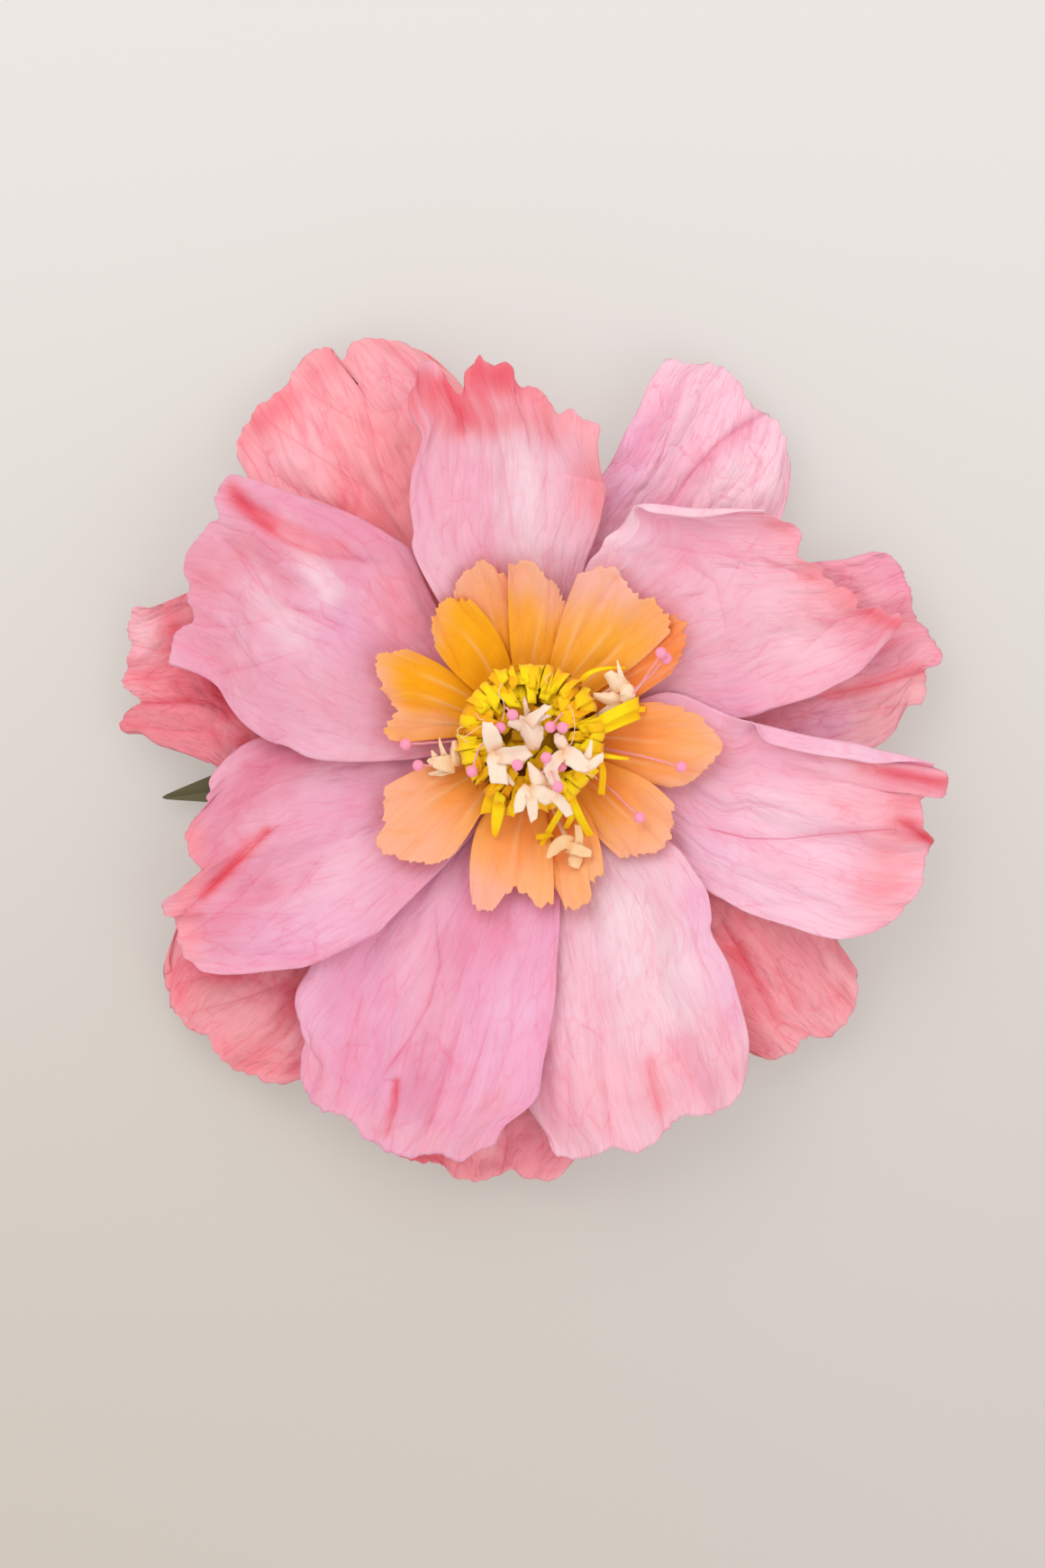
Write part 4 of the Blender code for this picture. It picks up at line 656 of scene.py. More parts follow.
                (coral, 0.4, 3, [(172, 102), (173, 96)]),
                (darkRed, 0.4, 1.3, [(174, 86), (175, 97)])],
     "creases": [(0.7, 0.9, 1.4, 0.6, [(173, 78), (174.5, 90), (175, 100)]),
                 (0.6, 0.9, 0.8, 0.5, [(166, 88), (167, 96), (167, 104)]),
                 (0.5, 0.9, 0.3, 0.45, [(179, 80), (179, 90), (178, 102)]),
                 (0.5, 0.8, 0.3, 0.45, [(170, 88), (171, 96), (171, 104)])]},
]

deepOrange, warmOrange, softOrange, peach = (255, 178, 4), (255, 176, 58), (253, 178, 112), (250, 180, 150)
orangePetals = [
    {"axis": 160, "left": [(179, 8), (180, 18), (182, 28), (181.9, 33.4)], "lift": 1.5,
     "tip": [(181.9, 33.4), (179.7, 37.6), (173.6, 37.2), (168.7, 35.6), (163.9, 38.9), (155.4, 43.1),
             (150.9, 43.7), (144.7, 38)],
     "right": [(141, 8), (140, 18), (141, 28), (144.7, 38)],
     "washes": [(deepOrange, 0.97, 12, [(152, 22), (156, 32)]), (peach, 0.7, 3, [(158, 41), (170, 35)]),
                (peach, 0.6, 4, [(176, 30), (172, 24)])],
     "creases": [(0.8, 1.2, 0.8, 0.4, [(166, 18), (164, 28), (166, 36)]),
                 (0.5, 0.8, 0.4, 0.3, [(152, 20), (158, 32), (164, 38)])]},
    {"axis": 123, "left": [(142, 8), (141, 18), (140, 26), (137, 33)], "lift": 0.5,
     "tip": [(137, 33), (131, 38.5), (125.3, 40.7), (120.7, 40.9), (114, 38)],
     "right": [(104, 8), (105, 18), (108, 28), (114, 38)],
     "washes": [(deepOrange, 0.95, 12, [(122, 22), (120, 34)]),
                (softOrange, 0.6, 2.5, [(134, 35), (126, 40)])],
     "creases": [(0.6, 0.9, 0.9, 0.35, [(138, 22), (131, 32), (128, 39)])]},
    {"axis": 108, "left": [(127, 8), (126, 18), (124, 30), (118.1, 41.4)], "low": True, "lift": 0.0,
     "tip": [(118.1, 41.4), (114.5, 44.5), (109.7, 46.1), (105.4, 46.1), (99.6, 41.7)],
     "right": [(89, 8), (90, 18), (93, 30), (99.6, 41.7)],
     "washes": [(warmOrange, 0.6, 7, [(108, 24), (108, 30)]), (peach, 0.85, 7, [(114, 42), (106, 43)]),
                ((251, 170, 124), 0.8, 6, [(112, 36), (105, 36)])],
     "creases": [(0.4, 0.9, 0.2, 0.2, [(106, 24), (106, 36), (107, 45)])]},
    {"axis": 88, "left": [(107, 8), (105, 18), (101, 30), (97.5, 43.5)], "lift": 0.0,
     "tip": [(97.5, 43.5), (93, 44.5), (87.9, 43.5), (84.4, 41), (80.8, 39), (76, 35)],
     "right": [(69, 8), (70, 18), (72, 27), (76, 35)],
     "washes": [(warmOrange, 0.6, 6, [(90, 20), (89, 27)]),
                (peach, 0.85, 7, [(97, 41), (88, 41), (80, 37)])],
     "creases": [(0.5, 0.9, 0.4, 0.3, [(95, 22), (96, 34), (97, 43)]),
                 (0.4, 0.8, 0.2, 0.2, [(81, 20), (82, 30), (83, 40)])]},
    {"axis": 55, "left": [(76, 8), (76, 18), (76, 30), (74.2, 42.1)], "lift": 0.5,
     "tip": [(74.2, 42.1), (70, 45.2), (65, 47.4), (60.4, 46.9), (55.5, 44.6), (52.7, 45.1),
             (47.2, 46.8), (41.2, 46.2), (36.9, 43.2)],
     "right": [(35, 8), (35, 18), (34.5, 30), (36.9, 43.2)],
     "washes": [((255, 180, 44), 0.9, 9, [(50, 24), (50, 36)]),
                ((251, 186, 172), 0.9, 6, [(72, 42), (63, 45), (56, 44)]),
                (softOrange, 0.8, 4, [(48, 44), (41, 44)])],
     "creases": [(0.4, 0.8, 0.3, 0.2, [(66, 20), (64, 34), (62, 45)]),
                 (0.4, 0.8, 0.2, 0.2, [(48, 22), (46, 34), (44, 44)])]},
    {"axis": 32, "left": [(52, 8), (51, 18), (47, 32), (40.4, 47.2)], "low": True, "lift": 0.0,
     "tip": [(40.4, 47.2), (38.1, 48.8), (34.6, 47.8), (30.4, 44.7), (27, 41.6), (24.5, 38.7)],
     "right": [(12, 8), (14, 18), (20, 27), (24.5, 38.7)],
     "washes": [((255, 140, 60), 0.8, 9, [(30, 28), (34, 42)])],
     "creases": [(0.5, 0.8, 0.3, 0.25, [(32, 26), (34, 38), (35, 47)])]},
    {"axis": 0, "left": [(20, 8), (20, 18), (18, 27), (15.4, 33.1)], "lift": 0.0,
     "tip": [(15.4, 33.1), (11.8, 38), (8.5, 41.7), (4.4, 45.3), (0.3, 47.5), (-4.5, 48),
             (-8.9, 45.7), (-12.8, 43.6), (-17.3, 40.4), (-20.1, 36.9)],
     "right": [(-20, 8), (-21, 18), (-21.5, 28), (-20.1, 36.9)],
     "washes": [((255, 150, 70), 0.8, 9, [(0, 20), (2, 30)]), (softOrange, 0.7, 6, [(4, 40), (-6, 44)]),
                (peach, 0.6, 2.4, [(6, 44), (-4, 47.5), (-14, 42)])],
     "creases": [(0.5, 0.8, 0.3, 0.2, [(2, 22), (0, 34), (-3, 46)]),
                 (0.3, 0.8, 0.2, 0.2, [(-12, 24), (-12, 34), (-12, 43)])]},
    {"axis": -38, "left": [(-18, 8), (-18, 18), (-20, 30), (-25.3, 39.7)], "lift": 0.0,
     "tip": [(-25.3, 39.7), (-30, 41.8), (-35.4, 44), (-40.9, 43.8), (-45.8, 41.1), (-49.8, 40),
             (-53.8, 37.4)],
     "right": [(-58, 8), (-58.5, 18), (-57, 28), (-53.8, 37.4)],
     "washes": [((255, 156, 70), 0.7, 7, [(-32, 20), (-34, 27)]),
                ((252, 178, 132), 0.85, 7, [(-30, 37), (-44, 38)]),
                (peach, 0.6, 2.2, [(-28, 41), (-40, 43.5), (-52, 38)])],
     "creases": [(0.4, 0.8, 0.3, 0.2, [(-36, 22), (-38, 34), (-40, 43)]),
                 (0.4, 0.8, 0.2, 0.2, [(-48, 22), (-49, 32), (-50, 40)])]},
    {"axis": -71, "left": [(-51, 8), (-52, 18), (-55, 28), (-62.1, 38.6)], "lift": 0.0,
     "tip": [(-62.1, 38.6), (-67.6, 40.5), (-70.3, 43.8), (-74.3, 44.9), (-78.6, 44.6), (-79.6, 40)],
     "right": [(-91, 8), (-90, 18), (-88, 28), (-79.6, 40)],
     "washes": [((255, 146, 56), 0.85, 7, [(-72, 20), (-80, 30)]),
                ((252, 180, 124), 0.85, 6, [(-69, 36), (-74, 42)])],
     "creases": [(0.6, 0.8, 0.8, 0.35, [(-80, 20), (-79, 32), (-79.5, 42)])]},
    {"axis": 260, "left": [(280, 8), (281, 18), (280.5, 28), (277.6, 41.8)], "lift": -0.3,
     "tip": [(277.6, 41.8), (274.7, 43.3), (270.4, 42), (266.6, 40.1), (263.6, 38.9), (259.5, 42.1),
             (256.8, 45), (251.9, 45.7), (248.5, 41.6)],
     "right": [(240, 8), (239, 18), (239, 27), (248.5, 41.6)],
     "washes": [((255, 156, 80), 0.8, 8, [(262, 22), (262, 32)]),
                ((250, 180, 164), 0.85, 6, [(264, 38), (255, 44), (250, 40)]),
                (softOrange, 0.8, 5, [(272, 38), (266, 36)])],
     "creases": [(0.5, 0.8, 0.6, 0.3, [(264, 20), (264, 30), (263.6, 38)]),
                 (0.4, 0.7, 0.2, 0.2, [(256, 22), (255, 34), (254, 45)])]},
    {"axis": 215, "left": [(235, 8), (236, 18), (237, 27), (236.8, 34.5)], "lift": 0.0,
     "tip": [(236.8, 34.5), (234.3, 39), (228.5, 42.5), (223.3, 45.7), (218.9, 47.6), (213.7, 47.1),
             (210.8, 43.7), (206, 42), (204.2, 41.3), (198.6, 38.7)],
     "right": [(195, 8), (194, 18), (195, 27), (198.6, 38.7)],
     "washes": [((255, 158, 60), 0.8, 7, [(218, 20), (217, 27)]),
                ((251, 180, 142), 0.9, 9, [(206, 35), (224, 38)]),
                (peach, 0.6, 2.4, [(200, 38), (214, 46), (226, 43)])],
     "creases": [(0.5, 0.8, 0.3, 0.2, [(208, 22), (206, 32), (204, 41)]),
                 (0.4, 0.8, 0.3, 0.2, [(222, 22), (222, 34), (222, 45)])]},
]

leaves = [
    {"axis": 190, "base": (112, 110, 80), "lift": 0.0,
     "left": [(198, 8), (198.5, 25), (197.5, 50), (193.5, 72), (191.2, 83.5), (189.6, 93.2)],
     "tip": [(189.6, 93.2), (189.2, 94.2), (188.9, 93)],
     "right": [(182, 8), (181.5, 25), (182, 50), (184.5, 70), (186.9, 81.9), (188.9, 93)],
     "washes": [], "creases": [(0.5, 0.8, 0, 0.5, [(190, 20), (189.6, 60), (189.3, 92)])]},
    {"axis": 208, "base": (104, 104, 74), "lift": 0.0,
     "left": [(216, 8), (216.5, 25), (215.5, 50), (212.5, 75), (210, 92), (208.7, 100.6)],
     "tip": [(208.7, 100.6), (208.3, 101.6), (207.9, 100.4)],
     "right": [(200, 8), (199.5, 25), (200.5, 50), (203.5, 75), (206.2, 92), (207.9, 100.4)],
     "washes": [], "creases": [(0.5, 0.8, 0, 0.5, [(208, 20), (208.2, 60), (208.3, 100)])]},
]


# A rim that is rolled over: bend radius in metres, then shares of the petal's length; its shade is painted
# shade on the underside, darker towards the bend
rollForm = {"bend": 0.0009, "columns": 12, "rootWidth": 0.08, "opens": 0.4, "closes": 0.2,
            "step": 0.03, "leastTurn": 0.01, "shade": 0.05}

# How every sheet is crumpled, waved and dyed. Lengths are in millimetres, shares of the petal's
# length or width are 0 to 1, and heights are parts of the kind's crumple.
sheetForm = {
    "clawEnd": 3.9, "rowPower": 0.8, "tipPower": 3, "cornerShare": 12,
    "toothDepth": (1.3, 0.7), "toothFiner": 2.7,
    "waves": 1.7, "fineWaves": 3.1, "fineWaveHeight": 0.6,
    "liftStart": 0.72, "warpSize": 22, "warpAcross": 5, "warpAlong": 7,
    "bigFacet": (11, 2.2, 0.2), "smallFacet": (5, 1.8, -0.3),
    "flute": (4.5, 34), "wave": (10, 55), "thin": (1.7, 26),
    "bigHeight": 1.25, "smallHeight": 0.45, "facetMiddle": 0.45,
    "fluteHeight": 0.8, "waveHeight": 1.9, "insideHeight": 0.2, "foldStart": 0.4, "foldRun": 0.5,
    "stepRise": 0.8, "stepFall": 6, "far": 9.0,
    "rimStart": 0.93, "rimHeight": 0.8, "rimPitch": 2.9,
    "heartRadius": 17, "heartRun": 16, "heartShare": 0.9, "edgeStart": 0.76, "edgeShare": 0.8,
    "washSoft": 0.3, "washFlute": 4.0, "washThin": 2.5, "washWide": 7,
    # creaseShade, edgeShade, valleyShade and darker: painted shade in the creases, on the crumple edges and
    # in the flute valleys
    "creaseShade": 0.3, "edgeShade": 0.22, "edgeWidth": 0.05, "valleyShade": 0.2,
    "darker": (0.97, 0.68, 0.74),
}


def rolledOver(distance, turn):
    # out from the bend line and up, for a point of a rim that is turned over
    bend = rollForm["bend"]
    if turn < rollForm["leastTurn"]:
        return distance, 0.0
    arc = min(distance, bend * turn)
    rest = distance - arc
    return (bend * math.sin(arc / bend) + rest * math.cos(turn),
            bend * (1 - math.cos(arc / bend)) + rest * math.sin(turn))


class Petal:
    # one cut sheet of crepe between its two sides and its tip
    def __init__(self, shape, kind, number):
        self.shape, self.kind, self.number = shape, kind, number
        self.left = Line([(shape["left"][0][0], sheetForm["clawEnd"])] + shape["left"])
        self.right = Line([(shape["right"][0][0], sheetForm["clawEnd"])] + shape["right"])
        self.tip = Line(shape["tip"])
        chance = random.Random(kind["seed"] + number)
        self.phases = [chance.uniform(0, math.tau) for _ in range(2)]

    def leftSide(self, v):
        # the visible left edge, the way out from it, how far the rim is turned and its width
        here = self.left.at(v)
        if "roll" not in self.shape:
            return here, Vector((0, 0, 0)), 0.0, 0.0
        form, (begin, length, wide) = rollForm, self.shape["roll"]
        turn = math.pi * float(ease((v - begin) / length))
        root = form["rootWidth"]
        flap = wide * (root + (1 - root) * float(ease(v / form["opens"])))
        flap *= 1 - self.shape["taper"] * float(ease((v - 1 + form["closes"]) / form["closes"]))
        along = (polar(*self.left.at(v + form["step"])) - polar(*self.left.at(v - form["step"]))).normalized()
        outward = Vector((-along.y, along.x, 0))
        count = form["columns"]
        reach = max(rolledOver(flap * mm * k / count, turn)[0] for k in range(count + 1)) / mm
        line = polar(*here) - outward * reach
        bearing = math.degrees(math.atan2(line.y, line.x))
        bearing += 360 * round((here.x - bearing) / 360)
        return Vector((bearing, line.to_2d().length)), outward, turn, flap

    def build(self, name):
        shape, kind, form = self.shape, self.kind, sheetForm
        columns, rows = kind["columns"], kind["rows"]
        flaps = rollForm["columns"] if "roll" in shape else 0
        total = columns + flaps
        bm = bmesh.new()
        bmesh.ops.create_grid(bm, x_segments=total, y_segments=rows, size=1)
        bm.verts.ensure_lookup_table()
        spots = np.array([v.co for v in bm.verts])
        column = np.rint((spots[:, 0] + 1) / 2 * total).astype(int)
        row = np.rint((spots[:, 1] + 1) / 2 * rows).astype(int)
        shares = (np.arange(rows + 1) / rows) ** form["rowPower"]      # finer rows towards the tip
        sides = [self.leftSide(v) for v in shares]
        leftB = np.array([s[0].x for s in sides])
        leftR = np.array([s[0].y for s in sides])
        right = [self.right.at(v) for v in shares]
        rightB = np.array([p.x for p in right])
        rightR = np.array([p.y for p in right])
        us = np.clip((np.arange(total + 1) - flaps) / columns, 0, 1)
        tipOff, run = self.tipEdge(us, sides[-1][0])
        u, v = us[column], shares[row]
        lean = v ** form["tipPower"]
        bearing = leftB[row] + (rightB[row] - leftB[row]) * u + tipOff[column, 0] * lean
        radius = leftR[row] + (rightR[row] - leftR[row]) * u + tipOff[column, 1] * lean
        x = radius * np.cos(np.radians(bearing))
        y = radius * np.sin(np.radians(bearing))
        r = radius * mm
        z = kind["height"](r) + kind["tilt"](r) * (bearing - shape["axis"])
        outer = ease((radius - kind["start"]) / (1.6 * kind["start"]))
        z += kind["ruffle"] * outer * (np.sin(math.tau * form["waves"] * u + self.phases[0])
                                       + form["fineWaveHeight"]
                                       * np.sin(math.tau * form["fineWaves"] * u + self.phases[1]))
        for place, depth, width in shape.get("pleats", []):
            z -= depth * mm * outer * np.exp(-((u - place) / width) ** 2)
        z += shape["lift"] * mm * ease((v - form["liftStart"]) / (1 - form["liftStart"]))
        # folds and crumples on top
        wide = np.hypot(np.diff(x[row == rows]), np.diff(y[row == rows])).sum()
        across, along = u * wide, v * self.left.length
        seed = kind["seed"] * 3.7 + self.number * 11.3
        size = form["warpSize"]
        warp = np.array([noise.noise(Vector((a / size, b / size, seed))) for a, b in zip(across, along)])
        across2, along2 = across + form["warpAcross"] * warp, along + form["warpAlong"] * warp
        big, edge = facets(across2, along2, *form["bigFacet"][:2], seed + 1, form["bigFacet"][2])
        small, _ = facets(across2, along2, *form["smallFacet"][:2], seed + 2, form["smallFacet"][2])
        flutes = streaks(across + 3 * warp, along, *form["flute"], seed + 4)
        waves = streaks(across + 4 * warp, along, *form["wave"], seed + 5)
        self.thin = streaks(across + 3 * warp, along, *form["thin"], seed + 6)
        much = kind["crumple"] * mm * outer
        z += much * (form["bigHeight"] * (form["facetMiddle"] - big)
                     + form["smallHeight"] * (form["facetMiddle"] - small))
        inside = form["insideHeight"]
        z += much * (inside + (1 - inside) * ease((v - form["foldStart"]) / form["foldRun"])) * (
            form["fluteHeight"] * flutes + form["waveHeight"] * waves)
        z, deep, signed = self.crease(x, y, z, outer)
        rim = ease((v - form["rimStart"]) / (1 - form["rimStart"]))
        z += rim * much * form["rimHeight"] * np.sin(run[column] / form["rimPitch"] + 3 * warp)
        # the rolled rim, with the sheet's texture carried on over it
        out = np.zeros((len(x), 3))
        sheetU = u.copy()
        for i in np.nonzero(column < flaps)[0]:
            _, outward, turn, flap = sides[row[i]]
            share = 1 - column[i] / flaps
            o, up = rolledOver(flap * mm * share, turn)
            out[i] = (outward.x * o, outward.y * o, up)
            sheetU[i] = -flap * share / wide
        spots = np.stack([x * mm, y * mm, z], 1) + out
        for vert, spot in zip(bm.verts, spots):
            vert.co = spot
        self.where = (u, v)
        dyeAndShade = self.dyeAndShade(x, y, v, deep, edge, flutes, warp)
        if flaps:
            over = column < flaps
            # the turned-over underside, with painted shade darker towards the bend
            dyeAndShade[over] = paint(shape["under"]) * (1 - rollForm["shade"] * (column[over, None] / flaps))
        layer = bm.verts.layers.float_color.new("dyeAndShade")
        # the fold's darkness is painted shade along the drawn fold
        fold = bm.verts.layers.float_vector.new("fold")   # distance to the nearest drawn fold, its darkness
        for vert, colour, side, dark in zip(bm.verts, dyeAndShade, signed, deep):
            vert[layer] = (*colour, 1.0)
            vert[fold] = (side, dark, 0.0)
        uv = bm.loops.layers.uv.new("sheet")
        shift = self.number * 0.31 + kind["seed"]
        for face in bm.faces:
            for loop in face.loops:
                i = loop.vert.index
                loop[uv].uv = (sheetU[i] - 0.5 + shift, v[i] * self.left.length / wide)
            face.smooth = True
        bmesh.ops.recalc_face_normals(bm, faces=bm.faces)
        up = sum(f.normal.z * f.calc_area() for f in bm.faces)
        if up < 0:
            bmesh.ops.reverse_faces(bm, faces=bm.faces)
        mesh = bpy.data.meshes.new(name)
        bm.to_mesh(mesh)
        bm.free()
        piece = bpy.data.objects.new(name, mesh)
        bpy.context.scene.collection.objects.link(piece)
        paper = piece.modifiers.new("paper", "SOLIDIFY")
        paper.thickness = kind["paper"]
        paper.offset = 0.0
        return piece

    def tipEdge(self, us, end):
        # how far the tip lies beyond the straight line between both sides, with small teeth
        form = sheetForm
        tipOff = []
        for u in us:
            line = self.tip.at(u) + (end - self.tip.at(0.0)) * (1 - u)
            tipOff.append(line - end.lerp(self.right.at(1.0), u))
        tipOff = np.array(tipOff)
        deep, pitch = self.kind["teeth"]
        coarse, fine = form["toothDepth"]
        run = us * self.tip.length
        bite = np.array([coarse * abs(noise.noise(Vector((s / pitch, self.number * 7.3, 2.5))))
                         + fine * abs(noise.noise(Vector((s / pitch * form["toothFiner"],
                                                          self.number * 3.1, 8.5))))
                         for s in run])
        corners = ease(us * form["cornerShare"]) * ease((1 - us) * form["cornerShare"])
        tipOff[:, 1] -= deep * bite * corners
        return tipOff, run

    def crease(self, x, y, z, outer):
        # the folds that are drawn on the sheet, how dark they are and how far away
        form = sheetForm
        deep = np.zeros(len(x))
        signed = np.full(len(x), form["far"])
        for depth, width, step, dark, line in self.shape["creases"]:
            away, side, share = nearLine(x, y, line)
            ends = ease(share * 5) if len(line) > 2 else 1.0
            z = z - depth * mm * ends * np.exp(-(away / width) ** 2) * outer ** 0.5
            z = z + (0.5 * step * mm * ends * side * ease(away / form["stepRise"])
                     * np.exp(-away / form["stepFall"]) * outer ** 0.5)
            near = dark * ends * np.exp(-(away / (1.0 + 0.8 * width)) ** 2)
            signed = np.where(near > deep, side * away / (0.5 * width), signed)
            deep = np.maximum(deep, near)
        return z, deep, signed

    def dyeAndShade(self, x, y, v, deep, edge, flutes, warp):
        # colours: the base, the washes, and painted shade that darkens the drawn creases, the crumple edges
        # and the flute valleys
        shape, form = self.shape, sheetForm
        colour = np.tile(paint(shape["base"]), (len(x), 1))
        if "heart" in shape:
            # deeper dye near the middle of the flower
            far = ease((np.hypot(x, y) - form["heartRadius"] + 7 * self.thin) / form["heartRun"])
            near = (form["heartShare"] * (1 - far))[:, None]
            colour = colour * (1 - near) + paint(shape["heart"]) * near
            run = 1 - form["edgeStart"]
            rim = (form["edgeShare"] * ease((v - form["edgeStart"] + 0.2 * self.thin) / run))[:, None]
            colour = colour * (1 - rim) + paint(peach) * rim
        soft = 1.0 + form["washSoft"] * warp
        run = form["washFlute"] * flutes + form["washThin"] * self.thin
        for shade, amount, width, line in shape["washes"]:
            away, _, _ = nearLine(x, y, line)
            away = np.maximum(away * soft + run * min(width / form["washWide"], 1.0), 0)
            share = (amount * np.exp(-(away / width) ** 2))[:, None]
            colour = colour * (1 - share) + paint(shade) * share
        # painted shade: darker on the edges of the crumple's facets and in the low valleys of the flutes
        fold = form["edgeShade"] * np.exp(-(edge / form["edgeWidth"]) ** 2)
        fold = fold + form["valleyShade"] * np.clip(-flutes - 0.15, 0, 0.4)
        # painted shade along the drawn creases as well
        share = np.clip(form["creaseShade"] * deep + fold * shape.get("valley", 1.0), 0, 0.9)[:, None]
        return colour * (1 - share) + colour * np.array(form["darker"]) * share


# Pink crepe. Heights are in metres, scales are cells over the sheet's width. The Shade keys and foldTone give
# painted shade in the folds and pleats, and darker fine lines.
crepeForm = {
    "lines": 0.00006, "longFold": 0.00055, "fineFold": 0.00022, "crossFold": 0.0005,
    "pleat": 0.0003, "drawn": 0.00013, "ridgeShade": 0.36, "lineShade": 0.07,
    "pleatShade": (0.04, 0.26), "drawnShade": 0.85,
    "paleDye": (253, 220, 230), "deepDye": (244, 140, 162), "foldTone": (0.97, 0.60, 0.68),
    "frontTone": (0.95, 0.94, 0.94), "backTone": (0.99, 0.99, 0.99),
}


def pinkFinish(name, crumpled, tone):
    # crepe tissue: fine lines along the sheet, broken folds with painted shade and soft blotches of dye
    f, form = Finish(name, 0.78, 0.12), crepeForm
    sheet = f.warped(f.uv(), (4, 3, 1), 0.10)
    lines = f.grain(f.stretched(sheet, (140, 7, 1)), 1.0, 3.0, 0.6, 0.3)
    longFold = f.stretched(sheet, (13, 3.2, 1), 0.12, 5.0)
    fineFold = f.stretched(f.warped(sheet, (17, 12, 1), 0.025, 3.0), (29, 8, 1), -0.2, 9.0)
    crossFold = f.stretched(f.warped(sheet, (12, 9, 1), 0.04, 6.0), (10, 8.5, 1), 0.7, 2.0)
    # painted shade along each fold's lines, which shows only in places
    paintedFoldShade = 0.0
    for place, thin, much, patch, low, high in [
            (longFold, 0.055, 1.0, f.stretched(sheet, (10, 6, 1), 0.4, 1.3), 0.44, 0.6),
            (fineFold, 0.08, 0.7, f.stretched(sheet, (8, 6, 1), 0.1, 7.7), 0.46, 0.6),
            (crossFold, 0.05, 0.7, f.stretched(sheet, (7, 7, 1), 0.0, 4.4), 0.5, 0.64)]:
        edge = 1 - f.ramp(f.facets(place, "DISTANCE_TO_EDGE"), 0.0, thin)
        paintedFoldShade = paintedFoldShade + edge * f.ramp(f.grain(patch, 1.0, 2.0), low, high) * much
    run = f.node("ShaderNodeSeparateXYZ", {}, {0: f.uv()}, 1)
    outer = f.ramp(run, 0.3, 1.0)
    long = abs(f.grain(f.stretched(sheet, (23, 1.5, 1), 0.0, 6.0), 1.0, 2.0, 0.5) - 0.5)
    pleat = 1 - f.ramp(long, 0.0, 0.03)
    blotch = f.grain(f.stretched(sheet, (3.2, 2.2, 1), 0.2, 3.0), 1.0, 3.0, 0.55)
    colour = f.mix(1.0, f.attribute("dyeAndShade"), np.array(tone), "MULTIPLY")
    colour = f.mix(f.ramp(blotch, 0.45, 0.75) * 0.28, colour, paint(form["paleDye"]))
    colour = f.mix((1 - f.ramp(blotch, 0.28, 0.5)) * 0.20, colour, paint(form["deepDye"]))
    # a darker copy of the colour, for the painted shade
    shadedColour = f.mix(1.0, colour, np.array(form["foldTone"]), "MULTIPLY")
    drawn = f.drawnFold()
    inner, more = form["pleatShade"]
    # painted shade: darker on the fold lines, in the pleat valleys and along the drawn folds, and a little
    # along the fine lines
    shade = paintedFoldShade * (form["ridgeShade"] * crumpled) + f.ramp(lines, 0.6, 0.85) * form["lineShade"]
    shade = shade + pleat * (inner + more * outer) + drawn * form["drawnShade"]
    f.put("Base Color", f.mix(shade, colour, shadedColour))
    f.put("Roughness", 0.74 + 0.12 * lines)
    f.bump(lines * form["lines"] - f.facets(longFold) * (form["longFold"] * crumpled)
           - f.facets(fineFold) * (form["fineFold"] * crumpled)
           - f.facets(crossFold) * (form["crossFold"] * crumpled)
           + long * (0.1 + outer) * form["pleat"] - drawn * form["drawn"])
    return f.material


# Orange tissue. Heights are in metres, and foldTone is the colour of the painted shade in the folds.
tissueForm = {"lines": 0.00008, "veinHeight": 0.00012, "drawn": 0.0002, "crumple": 0.0007,
              "vein": (255, 214, 160), "foldTone": (1.0, 0.84, 0.6)}


def orangeFinish():
    # thin dyed tissue: deep at the middle, paler towards the toothed edge, with pale veins and painted shade
    # in its folds
    f = Finish("orangeTissue", 0.7, 0.0)
    sheet = f.uv()
    lines = f.grain(f.stretched(sheet, (90, 5, 1)), 1.0, 2.0, 0.5, 0.3)
    cloud = f.grain(f.stretched(sheet, (3, 3, 1), 0.3), 1.0, 3.0)
    vein = f.attribute("vein", "Fac")
    colour = f.attribute("dyeAndShade")
    shadedColour = f.mix(1.0, colour, np.array(tissueForm["foldTone"]), "MULTIPLY")
    crumple = f.stretched(sheet, (5, 3.4, 1), 0.4, 3.0)
    edge = 1 - f.ramp(f.facets(crumple, "DISTANCE_TO_EDGE"), 0.0, 0.05)
    drawn = f.drawnFold()
    # painted shade on the crumple's edges and along the drawn folds, with darker lines and clouds in the
    # grain
    colour = f.mix(f.ramp(lines, 0.5, 0.8) * 0.25 + edge * 0.4 + f.ramp(cloud, 0.5, 0.7) * 0.2 + drawn,
                   colour, shadedColour)
    colour = f.mix(vein * 0.34, colour, paint(tissueForm["vein"]))
    f.put("Base Color", colour)
    f.put("Roughness", 0.66 + 0.1 * cloud)
    f.bump(lines * tissueForm["lines"] + vein * tissueForm["veinHeight"]
           - drawn * tissueForm["drawn"] - f.facets(crumple) * tissueForm["crumple"])
    return f.material


# fold is the colour of the painted shade along the midrib
leafForm = {"pale": (124, 122, 88), "fold": (84, 84, 58), "lines": 0.0001}


def leafFinish():
    f = Finish("leafPaper", 0.8, 0.05)
    sheet = f.uv()
    lines = f.grain(f.stretched(sheet, (80, 6, 1)), 1.0, 2.0)
    colour = f.mix(f.ramp(lines, 0.35, 0.7), f.attribute("dyeAndShade"), paint(leafForm["pale"]))
    # painted shade along the drawn midrib fold
    colour = f.mix(f.drawnFold(), colour, paint(leafForm["fold"]))
    f.put("Base Color", colour)
    f.put("Roughness", 0.76 + 0.1 * lines)
    f.bump(lines * leafForm["lines"])
    return f.material


finishes = {"front": pinkFinish("frontPetalCrepe", 1.0, crepeForm["frontTone"]),
            "back": pinkFinish("backPetalCrepe", 1.5, crepeForm["backTone"]),
            "orange": orangeFinish(), "leaf": leafFinish()}


